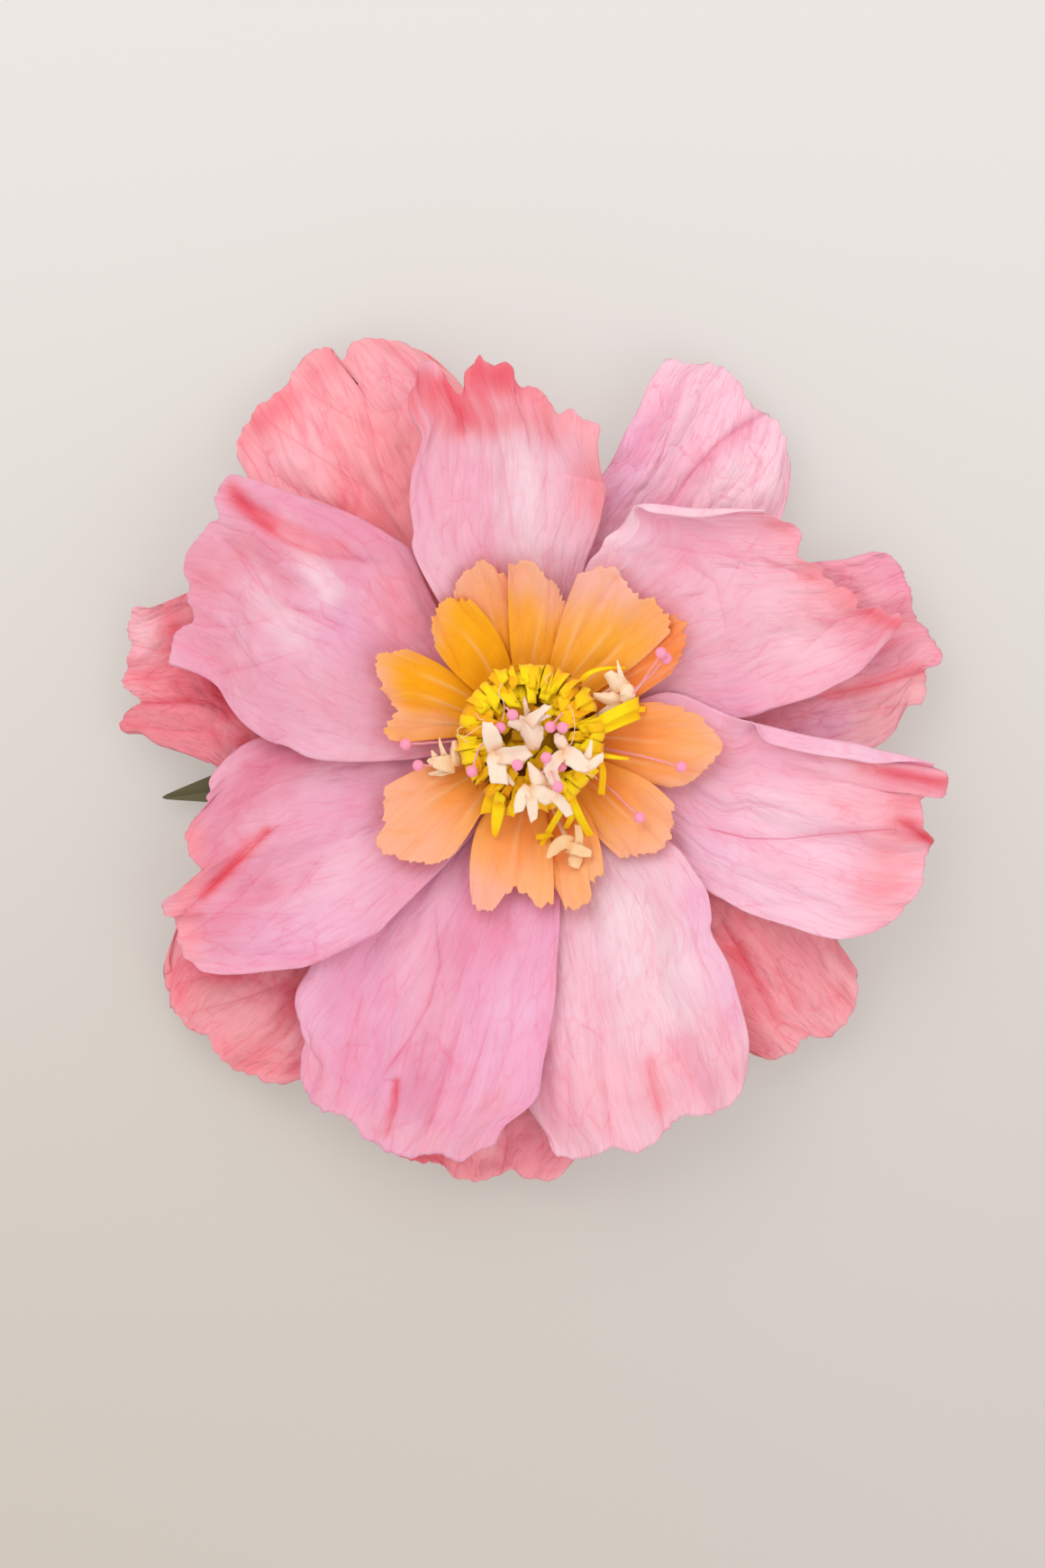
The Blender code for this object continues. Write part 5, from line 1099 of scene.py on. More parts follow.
def finishPiece(piece, node, material, slot):
    piece.data.materials.append(material)
    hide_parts(node)
    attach(piece, "root")


veinForm = {"middle": 0.5, "beside": [0.26, 0.76], "shift": 0.06, "thin": 0.016, "wider": 0.02,
            "wave": 0.04}


def addVeins(petal, piece):
    # pale veins that run out from the middle, one or three on a petal
    form = veinForm
    u, v = petal.where
    chance = random.Random(petal.number + 5)
    vein = np.zeros(len(u))
    for place in [form["middle"]] + (form["beside"] if petal.number % 2 == 0 else []):
        place += chance.uniform(-form["shift"], form["shift"])
        thin = form["thin"] + form["wider"] * v
        line = np.exp(-((u - place - form["wave"] * np.sin(4 * v + place * 9)) / thin) ** 2)
        vein = np.maximum(vein, line * ease((v - 0.25) / 0.2) * ease((0.86 - v) / 0.25))
    data = piece.data.attributes.new("vein", "FLOAT", "POINT")
    data.data.foreach_set("value", vein.astype(np.float32))


print("leaves and petals")
for shapes, kind, name, node in [(leaves, "leaf", "leaf", "leaf"),
                                 (backPetals, "back", "backPetal", "back_petal"),
                                 (frontPetals, "front", "frontPetal", "front_petal")]:
    for i, shape in enumerate(shapes):
        piece = Petal(shape, petalKinds[kind], i).build("%s%d" % (name, i + 1))
        finishPiece(piece, "%s_%d" % (node, i + 1), finishes[kind], node + "_paper")
print("orange petals")
for i, shape in enumerate(orangePetals):
    # valley scales down the painted fold shade on the orange petals
    shape = dict(shape, base=warmOrange if 80 < shape["axis"] < 170 else softOrange, valley=0.3,
                 heart=deepOrange)
    petal = Petal(shape, petalKinds["lowOrange" if shape.get("low") else "orange"], i)
    piece = petal.build("orangePetal%02d" % (i + 1))
    addVeins(petal, piece)
    finishPiece(piece, "orange_petal_%02d" % (i + 1), finishes["orange"], "orange_petal_paper")


# The middle of the flower

def path(points, count):
    # evenly spaced points on a soft line through a few, given in millimetres
    points = [Vector(p) * mm for p in points]
    fine = []
    for k in range(len(points) - 1):
        a, b, c = points[max(k - 1, 0)], points[k], points[k + 1]
        d = points[min(k + 2, len(points) - 1)]
        for j in range(12):
            t = j / 12
            fine.append(0.5 * (2 * b + (c - a) * t + (2 * a - 5 * b + 4 * c - d) * t * t
                               + (3 * b - a - 3 * c + d) * t ** 3))
    fine.append(points[-1])
    run = np.concatenate([[0.0], np.cumsum([(q - p).length for p, q in zip(fine, fine[1:])])])
    want = np.linspace(0, run[-1], count)
    spots = np.array([list(p) for p in fine])
    return [Vector(p) for p in np.stack([np.interp(want, run, spots[:, i]) for i in range(3)], 1)]


def ways(line):
    return [(line[min(i + 1, len(line) - 1)] - line[max(i - 1, 0)]).normalized() for i in range(len(line))]


def readWidths(widths, share):
    places = np.linspace(0, 1, len(widths))
    return float(np.interp(share, places, widths))


class Assembly:
    # several bits of paper, thread and bead that make one piece
    def __init__(self, name, materials):
        self.name, self.materials = name, materials
        self.bm = bmesh.new()
        self.dyeAndShade = self.bm.verts.layers.float_color.new("dyeAndShade")

    def part(self, verts, material, colour):
        for vert in verts:
            vert[self.dyeAndShade] = (*colour(vert), 1.0) if callable(colour) else (*colour, 1.0)
            for face in vert.link_faces:
                face.material_index = material
                face.smooth = True

    def strip(self, points, widths, colours, material=0, cup=0.0, twist=0.0, skew=0.0, fold=0.0,
              rows=12, columns=6, facing=Vector((0, 0, 1)), thick=0.2, edge=0.0, seed=0.0):
        # a cut blade of paper: cup bends it across, fold creases it along its middle
        verts = bmesh.ops.create_grid(self.bm, x_segments=columns, y_segments=rows, size=1)["verts"]
        cells = {}
        line = path(points, rows + 1)
        along = ways(line)
        spots = {}
        for vert in verts:
            column = round((vert.co.x + 1) / 2 * columns)
            row = round((vert.co.y + 1) / 2 * rows)
            cells[vert] = (column / columns * 2 - 1, row)
        for vert, (side, row) in cells.items():
            share = row / rows
            way = along[row]
            across = way.cross(facing).normalized()
            up = across.cross(way)
            turned = twist * share
            across, up = across * math.cos(turned) + up * math.sin(turned), (
                up * math.cos(turned) - across * math.sin(turned))
            half = readWidths(widths, share) * mm / 2
            ragged = 1 + edge * noise.noise(Vector((side * 3, share * 5, seed)))
            spot = line[row] + across * (side * half * ragged) + up * (
                (cup * side * side + fold * abs(side)) * half)
            spot += way * (skew * side * half * max(share - 0.6, 0) / 0.4)
            spots[vert] = (spot, share, side)
        stops = [paint(c) for c in colours]
        for vert, (spot, share, side) in spots.items():
            vert.co = spot
            place = share * (len(stops) - 1)
            k = min(int(place), len(stops) - 2) if len(stops) > 1 else 0
            mixed = stops[k] if len(stops) == 1 else (
                stops[k] * (1 - (place - k)) + stops[k + 1] * (place - k))
            vert[self.dyeAndShade] = (*mixed, 1.0)
        faces = list(dict.fromkeys(f for v in verts for f in v.link_faces))
        for face in faces:
            face.material_index = material
            face.smooth = True
            if face.normal.dot(facing) < 0:
                face.normal_flip()
        bmesh.ops.solidify(self.bm, geom=faces, thickness=thick * mm)

    def tube(self, points, radii, colour, material=1, rows=18, sides=8, wobble=0.0, seed=0.0):
        # a round stalk or thread
        verts = bmesh.ops.create_grid(self.bm, x_segments=sides, y_segments=rows, size=1)["verts"]
        line = path(points, rows + 1)
        if wobble:
            for i in range(1, rows):
                line[i] += mm * wobble * noise.noise_vector(line[i] * 260 + Vector((seed, 0, 0)))
        along = ways(line)
        across = along[0].orthogonal().normalized()
        frames = []
        for way in along:
            across = (across - way * across.dot(way)).normalized()
            frames.append((across.copy(), way.cross(across)))
        for vert in verts:
            column = round((vert.co.x + 1) / 2 * sides)
            row = round((vert.co.y + 1) / 2 * rows)
            angle = -math.tau * column / sides
            a, b = frames[row]
            radius = readWidths(radii, row / rows) * mm
            vert.co = line[row] + (a * math.cos(angle) + b * math.sin(angle)) * radius
        self.part(verts, material, paint(colour))
        bmesh.ops.remove_doubles(self.bm, verts=verts, dist=1e-6)

    def bead(self, place, radius, colour, material=1):
        made = bmesh.ops.create_uvsphere(self.bm, u_segments=24, v_segments=16, radius=radius * mm)
        for vert in made["verts"]:
            vert.co += Vector(place) * mm
        self.part(made["verts"], material, paint(colour))

    def finish(self, node, slot):
        bmesh.ops.recalc_face_normals(self.bm, faces=self.bm.faces)
        mesh = bpy.data.meshes.new(self.name)
        self.bm.to_mesh(mesh)
        self.bm.free()
        piece = bpy.data.objects.new(self.name, mesh)
        bpy.context.scene.collection.objects.link(piece)
        for material in self.materials:
            mesh.materials.append(material)
        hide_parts(node)
        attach(piece, "root")
        return piece


def plainPaper(name, grain, roughness=0.78, sheen=0.1, deep=0.00012, shade=(0.9, 0.78, 0.55)):
    # smooth cut paper, its colour read from the piece, with a faint grain
    f = Finish(name, roughness, sheen)
    place = f.place()
    fine = f.grain(f.stretched(place, (grain, grain, grain)), 1.0, 3.0, 0.6)
    cloud = f.grain(f.stretched(place, (260, 260, 260)), 1.0, 2.0)
    colour = f.attribute("dyeAndShade")
    darker = f.mix(1.0, colour, np.array(shade), "MULTIPLY")
    f.put("Base Color", f.mix((1 - f.ramp(cloud, 0.3, 0.6)) * 0.35 + f.ramp(fine, 0.5, 0.8) * 0.12,
                              colour, darker))
    f.put("Roughness", roughness - 0.06 + 0.12 * fine)
    f.bump(fine * deep + cloud * deep * 2)
    return f.material


yellowPaper = plainPaper("yellowCrepe", 1500, shade=(1.0, 0.86, 0.5))
creamPaper = plainPaper("creamTissue", 1200, shade=(0.97, 0.86, 0.74))
threadFinish = plainPaper("dyedThread", 3000, 0.6, shade=(0.95, 0.75, 0.8))
beadFinish = plainPaper("mattBead", 900, 0.55, 0.15, 0.00004, (0.96, 0.78, 0.86))
corePaper = plainPaper("corePaper", 1400, shade=(0.93, 0.82, 0.5))

# The fringe, in millimetres and degrees. Each layer: strips, bulge, lean inwards, extra height.
fringeForm = {"wall": 10.9, "base": 11.1, "tall": 14.2, "width": 3.1, "foot": 3.0, "thick": 0.22,
              "layers": [(44, 7.4, 3.4, 0.3), (44, 5.8, 1.4, 0.9), (36, 3.8, -1.2, 1.0)],
              "open": (215, 350), "openShare": 0.35, "looseThick": 0.24,
              "start": 60, "turns": 44 / 36, "step": 1.3, "strip": 0.5 / 36, "clear": 0.5,
              "bright": (255, 224, 0), "gold": (255, 206, 0), "deep": (250, 184, 0),
              "footShade": (232, 150, 0)}


def addFringe():
    # one long paper strip, cut into narrow strips and wound round the button
    form = fringeForm
    fringe = Assembly("yellowFringe", [yellowPaper])
    chance = random.Random(11)
    wall, base, tall = form["wall"], form["base"], form["tall"]
    for layer, (count, bulge, inward, over) in enumerate(form["layers"]):
        for i in range(count):
            bearing = 360 * (i + 0.33 * layer + chance.uniform(-0.3, 0.3)) / count
            reach = inward + chance.uniform(-2.0, 1.6)
            high = tall + over + chance.uniform(-1.2, 0.8)
            side = chance.uniform(-8, 8) * (1 if layer else 0.6)
            low = form["open"][0] < bearing % 360 < form["open"][1]
            if low and layer == 2 and chance.random() < form["openShare"]:
                continue
            outline = [(wall + 0.6 * (2 - layer), 0.0, 0),
                       (wall + 0.7 * (2 - layer) + 0.4, form["foot"], 0),
                       (wall + bulge - 0.6, 0.34 * tall, 0.1),
                       (wall + bulge + chance.uniform(-0.5, 0.4), 0.6 * high, 0.3),
                       (wall + 0.72 * bulge + 0.3 * reach, 0.9 * high, 0.7), (wall + reach, high, 1)]
            points = [polar(bearing + side * lean, r, base + z) for r, z, lean in outline]
            tone = chance.random() * (0.75 if low else 1.0)
            top = form["bright"] if tone > 0.42 else form["gold"] if tone > 0.18 else form["deep"]
            wide = form["width"] * chance.uniform(0.72, 1.2)
            # painted shade: each strip darkens from its top colour to deep and footShade towards its foot,
            # down in the fringe
            fringe.strip(points, [wide * 0.85, wide * 0.9, wide, wide, wide * chance.uniform(0.75, 1.0)],
                         [form["footShade"], form["deep"], top, top], cup=chance.uniform(-0.25, 0.2),
                         twist=chance.uniform(-0.9, 0.9), skew=chance.uniform(-0.8, 0.8), rows=16,
                         columns=4, facing=polar(bearing, 0.8, 0.6), thick=form["thick"],
                         fold=chance.choice([0, 0, -0.25, 0.3]), seed=i + 9.0 * layer)
    # loose strips that fall outwards, one by one: points and widths
    loose = [([(13.6, 2.2, 20.5), (18, 4.4, 22.6), (22.6, 6.8, 21.4), (26.8, 8.6, 18.4)],
              [2.4, 2.9, 2.9, 3.0]),
             ([(13.8, 0.6, 20), (18.4, 2.4, 21.8), (23.2, 4.4, 20.4), (27.0, 5.9, 17.6)],
              [2.4, 2.9, 3.0, 2.8]),
             ([(15, 1.6, 19), (20, 4, 20.2), (25, 6.6, 18.8), (28.6, 7, 17)], [1.6, 1.8, 1.6, 1.4]),
             ([(11.8, 13.4, 19), (14.4, 16, 20), (18.4, 17.2, 18), (23.8, 17.4, 16.4)],
              [1.6, 1.1, 0.8, 0.6]),
             ([(17, -4.4, 20), (20.6, -5, 19.6), (24.4, -5.4, 17.6)], [1.4, 1.0, 0.7]),
             ([(17, -5.4, 20), (17.8, -8.6, 19.6), (17.7, -11.6, 17.6), (17.4, -14.4, 15.8)],
              [1.5, 1.7, 1.8, 1.9]),
             ([(9.4, -14.2, 20), (11.2, -18, 20), (13, -21.8, 17.8), (15.2, -25.6, 15.4)],
              [2.2, 2.1, 2.1, 2.2]),
             ([(8.8, -15, 20), (6.8, -19.2, 19.2), (4.6, -23, 17), (2.2, -27.4, 15)], [1.8, 1.7, 1.6, 1.2]),
             ([(1, -25, 16.4), (3.2, -24.7, 17.4), (5.2, -24.3, 16.6)], [1.5, 1.4, 1.2]),
             ([(10.2, -14.6, 19.6), (10.4, -18.6, 19), (8.6, -22.8, 16.6)], [1.8, 1.8, 1.3]),
             ([(-7.4, -14.4, 20), (-8.2, -18, 20.6), (-8.8, -21.6, 18.2), (-9.4, -24.8, 15.4)],
              [3.4, 3.2, 2.6, 1.2]),
             ([(-9.6, -13.6, 19.6), (-10.7, -16.6, 20), (-11.4, -19, 18.6)], [3.0, 3.1, 2.8]),
             ([(-4.6, -15.6, 20), (-4.8, -17.8, 20.2), (-5.4, -19.6, 18.8)], [2.4, 2.6, 2.2])]
    for k, (points, widths) in enumerate(loose):
        bright = form["bright"] if k % 3 != 2 else form["gold"]
        # painted shade: deeper in colour where the strip comes out of the fringe
        fringe.strip(points, widths, [form["deep"], bright, bright, form["gold"]],
                     twist=chance.uniform(-0.3, 0.3), skew=chance.uniform(-0.6, 0.6),
                     fold=chance.choice([0.0, 0.25]), rows=14, columns=4,
                     thick=form["looseThick"], seed=50.0 + k)
    fringe.finish("centre_fringe", "fringe_paper")


# The button, in millimetres: its outline, then the chopped ends on it
coreForm = {"profile": [(0, 20.6), (4, 20.3), (7.4, 19.1), (9, 16.6), (9, 11.1), (3.4, 11.1),
                        (3.4, 2.3), (0, 2.3)],
            "ends": 64, "reach": 11.4, "length": (2.6, 5.0), "top": 21.6, "heap": 2.4, "dome": 0.012,
            "widths": [2.4, 2.8, 2.5], "colour": (226, 176, 10),
            "tones": [(254, 206, 4), (236, 178, 4), (255, 222, 6), (214, 164, 10), (250, 186, 4)]}


def addCore():
    # the round button, wound from paper, with chopped ends standing on it
    form = coreForm
    core = Assembly("woundButton", [corePaper, yellowPaper])
    verts = [core.bm.verts.new((r * mm, 0, z * mm)) for r, z in form["profile"]]
    edges = [core.bm.edges.new(pair) for pair in zip(verts, verts[1:])]
    bmesh.ops.spin(core.bm, geom=verts + edges, axis=(0, 0, 1), cent=(0, 0, 0), angle=math.tau, steps=48)
    bmesh.ops.remove_doubles(core.bm, verts=core.bm.verts, dist=1e-5)
    core.part(list(core.bm.verts), 0, paint(form["colour"]))
    bmesh.ops.recalc_face_normals(core.bm, faces=core.bm.faces)
    chance = random.Random(5)
    for k in range(form["ends"]):
        bearing, radius = chance.uniform(0, 360), form["reach"] * math.sqrt(chance.uniform(0.02, 1.0))
        yaw, long = chance.uniform(0, 360), chance.uniform(*form["length"])
        high = form["top"] + chance.uniform(0, form["heap"]) + form["dome"] * radius ** 2
        middle = polar(bearing, radius, high)
        half = polar(yaw, long / 2, chance.uniform(-0.9, 0.9))
        tone = chance.choice(form["tones"])
        core.strip([middle - half, middle + half * 0.1 + Vector((0, 0, 0.3)), middle + half],
                   form["widths"], [tone], material=1, cup=chance.uniform(-0.3, 0.3),
                   skew=chance.uniform(-0.5, 0.5), rows=6, columns=4, thick=0.2, seed=float(k))
    core.finish("centre_button", "button_paper")


# Stamens: (foot bearing, pip bearing, pip radius, height over the fringe or the orange petals)
innerStamens = [(131, 131, 7.2, 5.2), (164, 163.8, 8.1, 1.5), (38, 27.6, 5.3, 4.6), (16, 16.4, 8.0, 6.2),
                (-72, -55, 6.3, 5.4), (246, 243.4, 7.8, 5.6), (-44.5, -44.5, 10.3, 0.6),
                (-60, -62.2, 14.0, 6.3), (177, 210, 17.1, 0.4)]
outerStamens = [(-31, -36.6, 33.6, 2.0), (-8, -11.3, 38.0, 2.0), (183, 183.3, 31.5, 2.0),
                (201, 194, 29.2, 2.0), (13, 33, 38.4, 5.0), (18, 30.3, 38.8, 1.7)]
stamenForm = {"top": 27.7, "thread": 0.25, "bead": 1.45, "loose": 0.11, "start": 9.55, "foot": 11.4,
              "overFringe": 12.35, "bend": 29.2, "clear": 28.2, "neck": 3.5, "lift": 0.55,
              "pink": (250, 158, 190), "stalk": (248, 172, 186), "pale": (250, 214, 196)}

# fine loose threads, in millimetres, that go with the first stamens
looseThreads = {
    1: [[(-7.3, 13.4, 29), (-8.3, 10.6, 30.4), (-7.2, 8.6, 30), (-7.3, 4, 29.4)]],
    2: [[(-13.9, 5.8, 28.8), (-12.9, 4.4, 29.8), (-11.8, 4.2, 29.6)],
        [(-12.2, 3.6, 29), (-14.2, 1.4, 29.8), (-16.6, 0, 29)]],
    3: [[(4.0, 13.2, 28.8), (3.6, 14.6, 29.6), (5.0, 15.8, 29)], [(-2.2, 8.6, 29), (-0.6, 6.2, 30)]],
    4: [[(9.2, 8.0, 29), (10.7, 4.8, 30.6), (10.5, 0.6, 30.4), (9.2, -2.2, 29.6)]],
    7: [[(10.6, -8.2, 29), (13.4, -8.8, 28.6), (16.4, -10.6, 27)]],
    9: [[(-16.2, -1.6, 28.6), (-18.4, 1, 29), (-17.2, 2.4, 29.2)]],
}


def orangeTopAt(r):
    return float(orangeTop(np.array([r * mm]))[0]) / mm


def outerFoot(bearing, thickness):
    # where a thread or stalk stands against the fringe's outermost turn
    form = fringeForm
    turns = (bearing - form["start"]) % 360 / 360
    if turns + 1 < form["turns"]:
        turns += 1
    return form["wall"] + form["step"] * (turns + form["strip"]) + form["clear"] + thickness


def makeStamen(number, points, wobble):
    form = stamenForm
    stamen = Assembly("stamen%02d" % number, [yellowPaper, threadFinish, beadFinish])
    stamen.tube(points, [form["thread"]] * 2, form["stalk"], wobble=wobble, seed=number)
    stamen.bead(points[-1], form["bead"], form["pink"], 2)
    for k, thread in enumerate(looseThreads.get(number, [])):
        stamen.tube(thread, [form["loose"]] * 2, form["pale"], rows=14, sides=6, wobble=0.6, seed=k + 3.0)
    stamen.finish("stamen_%02d" % number, "stamen")


def addStamens():
    form = stamenForm
    start = form["start"]
    for number, (foot, bearing, radius, over) in enumerate(innerStamens, 1):
        z = form["top"] + over
        end = polar(bearing, radius, z)
        points = [polar(foot, start, form["foot"])]
        if radius > form["overFringe"]:
            turned = foot + (bearing - foot) * 0.45
            points += [polar(foot, start, min(z, form["bend"])),
                       polar(turned, (start + radius) / 2, max(form["clear"], z - 0.3))]
        else:
            low = polar(foot, start, z - form["neck"])
            aside = end - low
            points += [low, low + Vector((aside.x * 0.25, aside.y * 0.25, aside.z * 0.55))]
        makeStamen(number, points + [end], 0.25)
    for number, (foot, bearing, radius, over) in enumerate(outerStamens, len(innerStamens) + 1):
        start = outerFoot(foot, form["thread"])
        points = []
        for share, part in ((0.0, 0.0), (0.3, 0.25), (0.65, 0.6)):
            r = start + (radius - start) * share
            z = orangeTopAt(r) + form["lift"] + (over - 1.5) * share ** 2
            points.append(polar(foot + (bearing - foot) * part, r, z))
        makeStamen(number, points + [polar(bearing, radius, orangeTopAt(radius) + over)], 0.3)


# Florets cut from cream tissue: each has a stalk and some folded blades, (points, widths)
florets = [
    {"foot": 214, "bearing": 210.5, "radius": 10.2, "over": 0.4, "inner": True, "tone": (251, 229, 207),
     "blades": [([(-8.9, -3.6, 0.3), (-9.6, -1.2, 1.6), (-10.3, 1.2, 2.4), (-10.9, 3.6, 1.8)],
                 [3.6, 4.8, 4.2, 2.2]),
                ([(-8.9, -3.4, 0.6), (-8.8, -6.6, 1.5), (-8.4, -9, 1.8), (-7.9, -11.6, 1.2)],
                 [3.6, 4.6, 4.7, 4.0]),
                ([(-8.6, -5, 0.8), (-6.2, -4.6, 2.2), (-3.6, -4.2, 2.4), (-0.8, -3.2, 1.4)],
                 [3.2, 4.4, 4.4, 3.4]),
                ([(-8.2, -9, 0.8), (-6.4, -9.8, 0.6), (-4.4, -12, 0.2)], [2.4, 1.4, 0.8])]},
    {"foot": 100, "bearing": 108, "radius": 2.8, "over": -0.6, "inner": True, "tone": (251, 229, 209),
     "blades": [([(0.4, -3.4, 0.4), (0.2, -0.4, 1.4), (-0.8, 2.6, 2.2), (-1.4, 5.0, 2.4)],
                 [3.2, 4.8, 5.6, 3.8]),
                ([(-1.0, 3.2, 2.4), (0.6, 4.9, 3.0), (2.4, 6.4, 3.2), (4.0, 7.9, 2.6)],
                 [3.4, 2.9, 2.0, 1.8]),
                ([(1.0, 4.2, 2.6), (3, 5, 2.6), (4.8, 5.2, 2.0)], [2.4, 1.5, 0.4]),
                ([(-1.8, 2.8, 1.2), (-3.8, 3.2, 1.0), (-5.9, 3.6, 0.4)], [3.2, 2.6, 1.5]),
                ([(1.0, -2.8, 0.8), (1.9, 0.2, 1.0), (2.2, 2.6, 0.8)], [1.8, 2.2, 1.2])]},
    {"foot": -22.6, "bearing": -22.6, "radius": 8.8, "over": 0.4, "inner": True, "tone": (251, 230, 209),
     "blades": [([(8.4, -3.4, 0.4), (7.6, -1.8, 1.8), (6.6, -0.2, 2.4), (6.0, 0.9, 1.8)],
                 [2.6, 3.0, 3.0, 1.2]),
                ([(7.6, -3.6, 0.6), (10, -5, 1.8), (12.4, -6.8, 2.2), (14.4, -7.8, 1.4)],
                 [3.8, 5.0, 4.2, 2.4]),
                ([(13.0, -7.8, 1.6), (15, -6.9, 2.4), (16.6, -5.6, 2.4), (18, -4.9, 1.6)],
                 [2.8, 2.4, 2.2, 2.2]),
                ([(13.4, -5.8, 1.6), (14.4, -3.2, 2.0), (14.9, -0.6, 1.8)], [2.6, 1.5, 0.4]),
                ([(8, -4.4, 0.8), (6, -5.6, 2.6), (4.9, -7.6, 3.0), (5.2, -9.8, 2.6), (6.8, -12.4, 1.4)],
                 [2.6, 3.2, 3.4, 3.2, 2.2])]},
    {"foot": -88, "bearing": -84.4, "radius": 13.8, "over": 1.0, "inner": True, "tone": (251, 229, 205),
     "blades": [([(3.0, -13.2, 0.8), (1.6, -10.8, 2.0), (0.2, -8.4, 2.2), (-0.9, -6.2, 1.6)],
                 [3.6, 4.0, 2.8, 0.5]),
                ([(3.4, -13, 0.4), (3.8, -10.8, 0.8), (3.4, -7.8, 0.6)], [2.8, 3, 2.2]),
                ([(-0.8, -13.6, 1.0), (1.6, -14.2, 2.2), (4, -14.9, 2.6), (6.0, -15, 1.8)],
                 [4.2, 4.6, 4.2, 2.6]),
                ([(-0.4, -12.4, 0.8), (-2, -14.4, 1.6), (-2.8, -16.6, 1.8), (-3.2, -18.8, 1)],
                 [3.2, 3.4, 3.2, 2.2]),
                ([(0.2, -14.4, 0.8), (0.1, -16.6, 2), (0.3, -18.6, 2), (0.6, -20.8, 1.2)],
                 [3.4, 2.8, 2.6, 1.7]),
                ([(5.0, -14.2, 1.2), (6.8, -15.8, 2.6), (8.2, -17.6, 2.6), (9.4, -19.6, 1.4)],
                 [2.8, 3.0, 2.8, 2.0])]},
    {"foot": 34, "bearing": 30.4, "radius": 25.3, "over": 1.8, "inner": False, "tone": (250, 226, 196),
     "blades": [([(22.6, 11.4, 0.6), (21.4, 13.2, 1.8), (20, 14.8, 2.2), (18.8, 16.2, 1.8)],
                 [3.4, 4.2, 3.4, 2.4]),
                ([(22.8, 13.2, 1), (22.3, 15.4, 1.8), (21.8, 17.4, 1.8), (21.4, 19.2, 1.2)],
                 [3.0, 1.6, 0.9, 0.3]),
                ([(22, 13.8, 0.8), (23.6, 12.2, 2), (24.2, 10.2, 2), (23.2, 8.4, 1.2)], [3.0, 3.6, 4, 3]),
                ([(22.8, 9.6, 0.6), (20.2, 9.6, 1.4), (17.8, 10.0, 1.2), (15.4, 10.8, 0.6)],
                 [4.4, 4.2, 2.6, 1.0]),
                ([(22.0, 8.4, 0.4), (18.8, 7, 0.4), (16.4, 5.4, 0.2), (14.6, 3.9, 0)], [2.6, 1.5, 1, 0.6]),
                ([(12, 12.6, 0.6), (13, 11.9, 0.9), (14.4, 11.2, 0.6)], [0.6, 1.6, 0.6])]},
    {"foot": 191, "bearing": 193.5, "radius": 23.0, "over": 1.0, "inner": False, "tone": (249, 220, 184),
     "blades": [([(-19.2, -6.8, 0.6), (-21.6, -6.6, 1.6), (-23.8, -6.2, 1.8), (-26, -5.6, 1.0)],
                 [4.2, 4.2, 3.2, 0.8]),
                ([(-19.6, -7.4, 0.8), (-19.2, -4.8, 2), (-19.2, -2.6, 2), (-19.4, -0.8, 1.4)],
                 [3.6, 3.2, 2.4, 1.4]),
                ([(-21.4, -5.6, 1), (-22.2, -3.4, 1.8), (-22.8, -1.6, 1.6), (-23, -0.1, 1)],
                 [2.4, 1.4, 0.9, 0.3]),
                ([(-23.4, -6, 1), (-24.4, -4.6, 1.6), (-25, -3.2, 1.2)], [2.2, 1.5, 0.3]),
                ([(-20, -7.4, 0.4), (-21.6, -8.3, 0.8), (-23.4, -9, 0.6), (-25.8, -9.2, 0.3)],
                 [3.2, 2.4, 1.4, 0.6])]},
    {"foot": -77, "bearing": -70.2, "radius": 29.9, "over": 1.8, "inner": False, "tone": (249, 208, 160),
     "blades": [([(10.6, -26.8, 0.6), (8.2, -26.2, 1.6), (6, -27.6, 1.4), (3.9, -30.2, 0.6)],
                 [3.6, 3.6, 3.0, 0.8]),
                ([(11.6, -27.4, 0.8), (11.9, -25.2, 1.8), (11.7, -23.4, 1.6), (11.4, -21.9, 0.8)],
                 [2.6, 2.0, 1.9, 1.4]),
                ([(8.8, -27.2, 1), (11.2, -28, 2), (13, -28.6, 1.8), (15, -29.2, 1)], [3.2, 3.0, 2.8, 1.6]),
                ([(10.4, -28.2, 0.4), (10.9, -30.2, 1.2), (10.5, -32.6, 0.8)], [2.8, 3.8, 2.8])]},
]


stalkForm = {"start": 9.6, "foot": 11.4, "below": 1.2, "radius": 0.3, "lift": 0.6,
             "radii": [0.3, 0.3, 0.5, 0.8], "colour": (249, 214, 184), "orangeBounce": (-2, -26, -44),
             "thick": 0.2, "edge": 0.18}


